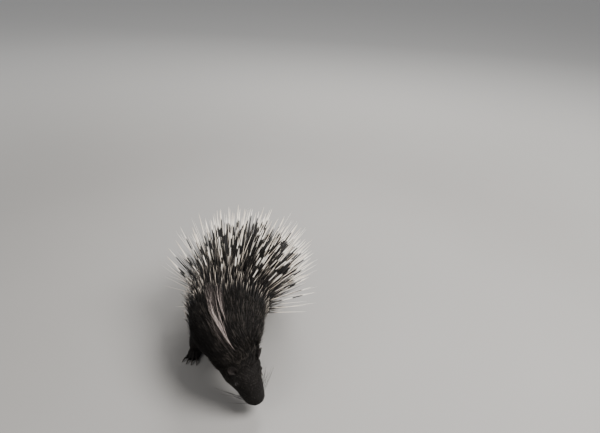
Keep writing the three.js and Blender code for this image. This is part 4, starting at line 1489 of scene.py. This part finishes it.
def make_lids():
    """A rolled ring of skin round each eye, thin at its free edge, thicker above than below."""
    bm = bmesh.new()
    for side in SIDES.values():
        _, across, ahead, normal = place_on_head(EYE["along"], side * EYE["angle"])
        centre = eye_centre(side)

        def rolled(p):
            turn, section = p[:, 0], p[:, 1]
            towards = np.cos(turn)[:, None] * ahead + np.sin(turn)[:, None] * across
            above = towards @ UP
            corner = LID["corner"]
            wide = np.abs(np.cos(turn) / LID["long"]) ** corner + np.abs(np.sin(turn) / LID["high"]) ** corner
            slit = wide ** (-1 / corner) * (1 - LID["droop"] * above)
            share = 0.5 - 0.5 * np.cos(section)
            angle = slit + (LID["outer"] - slit) * share
            thick = np.sin(section) * (LID["thin"] + (1 - LID["thin"]) * share)
            thick = np.where(section > 0, thick * (1 + LID["thicker_above"] * above), 0)
            radius = EYE["radius"] + LID["clear"] + LID["over"] * thick
            along = np.cos(angle)[:, None] * normal + np.sin(angle)[:, None] * towards
            return centre + along * radius[:, None]

        made = bmesh.ops.create_grid(bm, x_segments=LID["turns"], y_segments=LID["rings"], size=math.pi)
        moved(rolled, made["verts"])
    bmesh.ops.remove_doubles(bm, verts=bm.verts, dist=LID["weld"])
    bmesh.ops.recalc_face_normals(bm, faces=bm.faces)
    mesh = new_mesh("lids", bm)
    place_mesh(mesh)
    set_values(mesh, "bare", np.full(len(mesh.vertices), BARE["rims"][-1]))
    finish_piece("lids", mesh, "hide")


CLAW_CUTS = (0.12, 0.25, 0.4, 0.55, 0.7, 0.82, 0.91, 0.97)
CLAW_PROFILE = (0.95, 1.0, 1.0, 0.95, 0.87, 0.74, 0.58, 0.4, 0.22, 0)
CLAW_SHAPE = Strand(14, CLAW_CUTS, CLAW_PROFILE, flat=1 / CLAW["flat"])


def make_claws():
    names, roots, leads = [], [], []
    for name, limb in LIMBS.items():
        for i, (root, line) in enumerate(foot_shape(limb)[3]):
            names.append(f"{name}_claw_{i + 1}")
            roots.append([*(root + line * (TOE["end"] - CLAW["root"]))[:2], CLAW["height"]])
            leads.append(line)
    count = len(names)
    length = np.full(count, CLAW["reach"] + CLAW["root"])
    raised = np.array(leads) + UP * CLAW["raise"]
    bend = -UP * (CLAW["drop"] + CLAW["raise"] * length[0])
    lines = bent(CLAW_SHAPE, np.array(roots), raised, length, bend)
    facing = np.broadcast_to(UP, (count, 3))
    width = np.full(count, CLAW["half"] * CLAW["flat"])
    strands("claws", CLAW_SHAPE, lines, facing, width, None, "claw", "claw", names)


make_quills()
make_dark_quills()
make_thin_quills()
make_spines("shoulder_quills")
make_bristles()
make_belly()
make_head_fur()
make_limb_fur()
make_mane()
make_whiskers()
make_spines("tail_spines")
make_rattles()
make_ears()
make_eyes()
make_lids()
make_claws()
dress_skin()


# Floor, light and camera

FLOOR_SIZE = 80.0
FLOOR_NEAR = ((0.25, 0.238, 0.222), (0.275, 0.262, 0.246))
FLOOR_FAR = (0.76, 0.74, 0.7)
FLOOR_PALER = (1.2, 4.2)  # between these distances from the middle, in metres
LIGHTS = [
    # place, aim, size, watts
    ((1.7, -0.5, 2.4), (0, 0, 0.1), 1.7, 168),
    ((-2.0, -1.6, 1.8), (0, 0, 0.15), 1.8, 34),
    ((0.4, 2.0, 2.2), (0, 0, 0.2), 1.2, 70),
]
WORLD = {"Color": (0.93, 0.95, 1.0, 1), "Strength": 0.32}
CAMERA = {"at": (185.0, -1300.0, 1180.0), "down": math.radians(29.5), "roll": math.radians(1.7)}
CAMERA |= {"lens": 33.6, "sensor": 36.0}


def make_stage():
    bm = bmesh.new()
    bmesh.ops.create_grid(bm, x_segments=1, y_segments=1, size=FLOOR_SIZE / 2)
    mesh = new_mesh("floor", bm)
    floor = bpy.data.objects.new("floor", mesh)
    bpy.context.scene.collection.objects.link(floor)
    f = Finish("floor", Roughness=0.7)
    near = f.blend(f.noise(1.5, 2.0), *FLOOR_NEAR)
    # The floor is paler where the lamps don't reach, so that it looks even.
    away = f.node("VectorMath", {"operation": "LENGTH"}, f.place(), output="Value")
    far = f.node("MapRange", {"interpolation_type": "SMOOTHSTEP"}, away, *FLOOR_PALER)
    mesh.materials.append(f.feed(Base_Color=f.blend(far, near, FLOOR_FAR)))


def make_lights():
    for i, (at, aim, size, watts) in enumerate(LIGHTS):
        light = bpy.data.lights.new(f"light_{i + 1}", "AREA")
        light.shape, light.size, light.energy = "DISK", size, watts
        lamp = bpy.data.objects.new(light.name, light)
        bpy.context.scene.collection.objects.link(lamp)
        lamp.location = at
        lamp.rotation_euler = (Vector(aim) - Vector(at)).to_track_quat("-Z", "Y").to_euler()
    world = bpy.data.worlds.new("studio")
    world.use_nodes = True
    for socket, value in WORLD.items():
        world.node_tree.nodes["Background"].inputs[socket].default_value = value
    bpy.context.scene.world = world


def make_camera():
    """The photograph's camera: looking along +Y and down, turned a little about its own axis."""
    data = bpy.data.cameras.new("camera")
    data.sensor_width, data.lens = CAMERA["sensor"], CAMERA["lens"]
    camera = bpy.data.objects.new("camera", data)
    bpy.context.scene.collection.objects.link(camera)
    down, roll = CAMERA["down"], CAMERA["roll"]
    forward = Vector((0, math.cos(down), -math.sin(down)))
    level = Vector((1, 0, 0))
    below = Vector((0, -math.sin(down), -math.cos(down)))
    right = level * math.cos(roll) - below * math.sin(roll)
    above = -(level * math.sin(roll) + below * math.cos(roll))
    turned = Matrix((right, above, -forward)).transposed().to_4x4()
    turned.translation = Vector(in_row(np.array(CAMERA["at"])))
    camera.matrix_world = turned
    bpy.context.scene.camera = camera


make_stage()
make_lights()
make_camera()
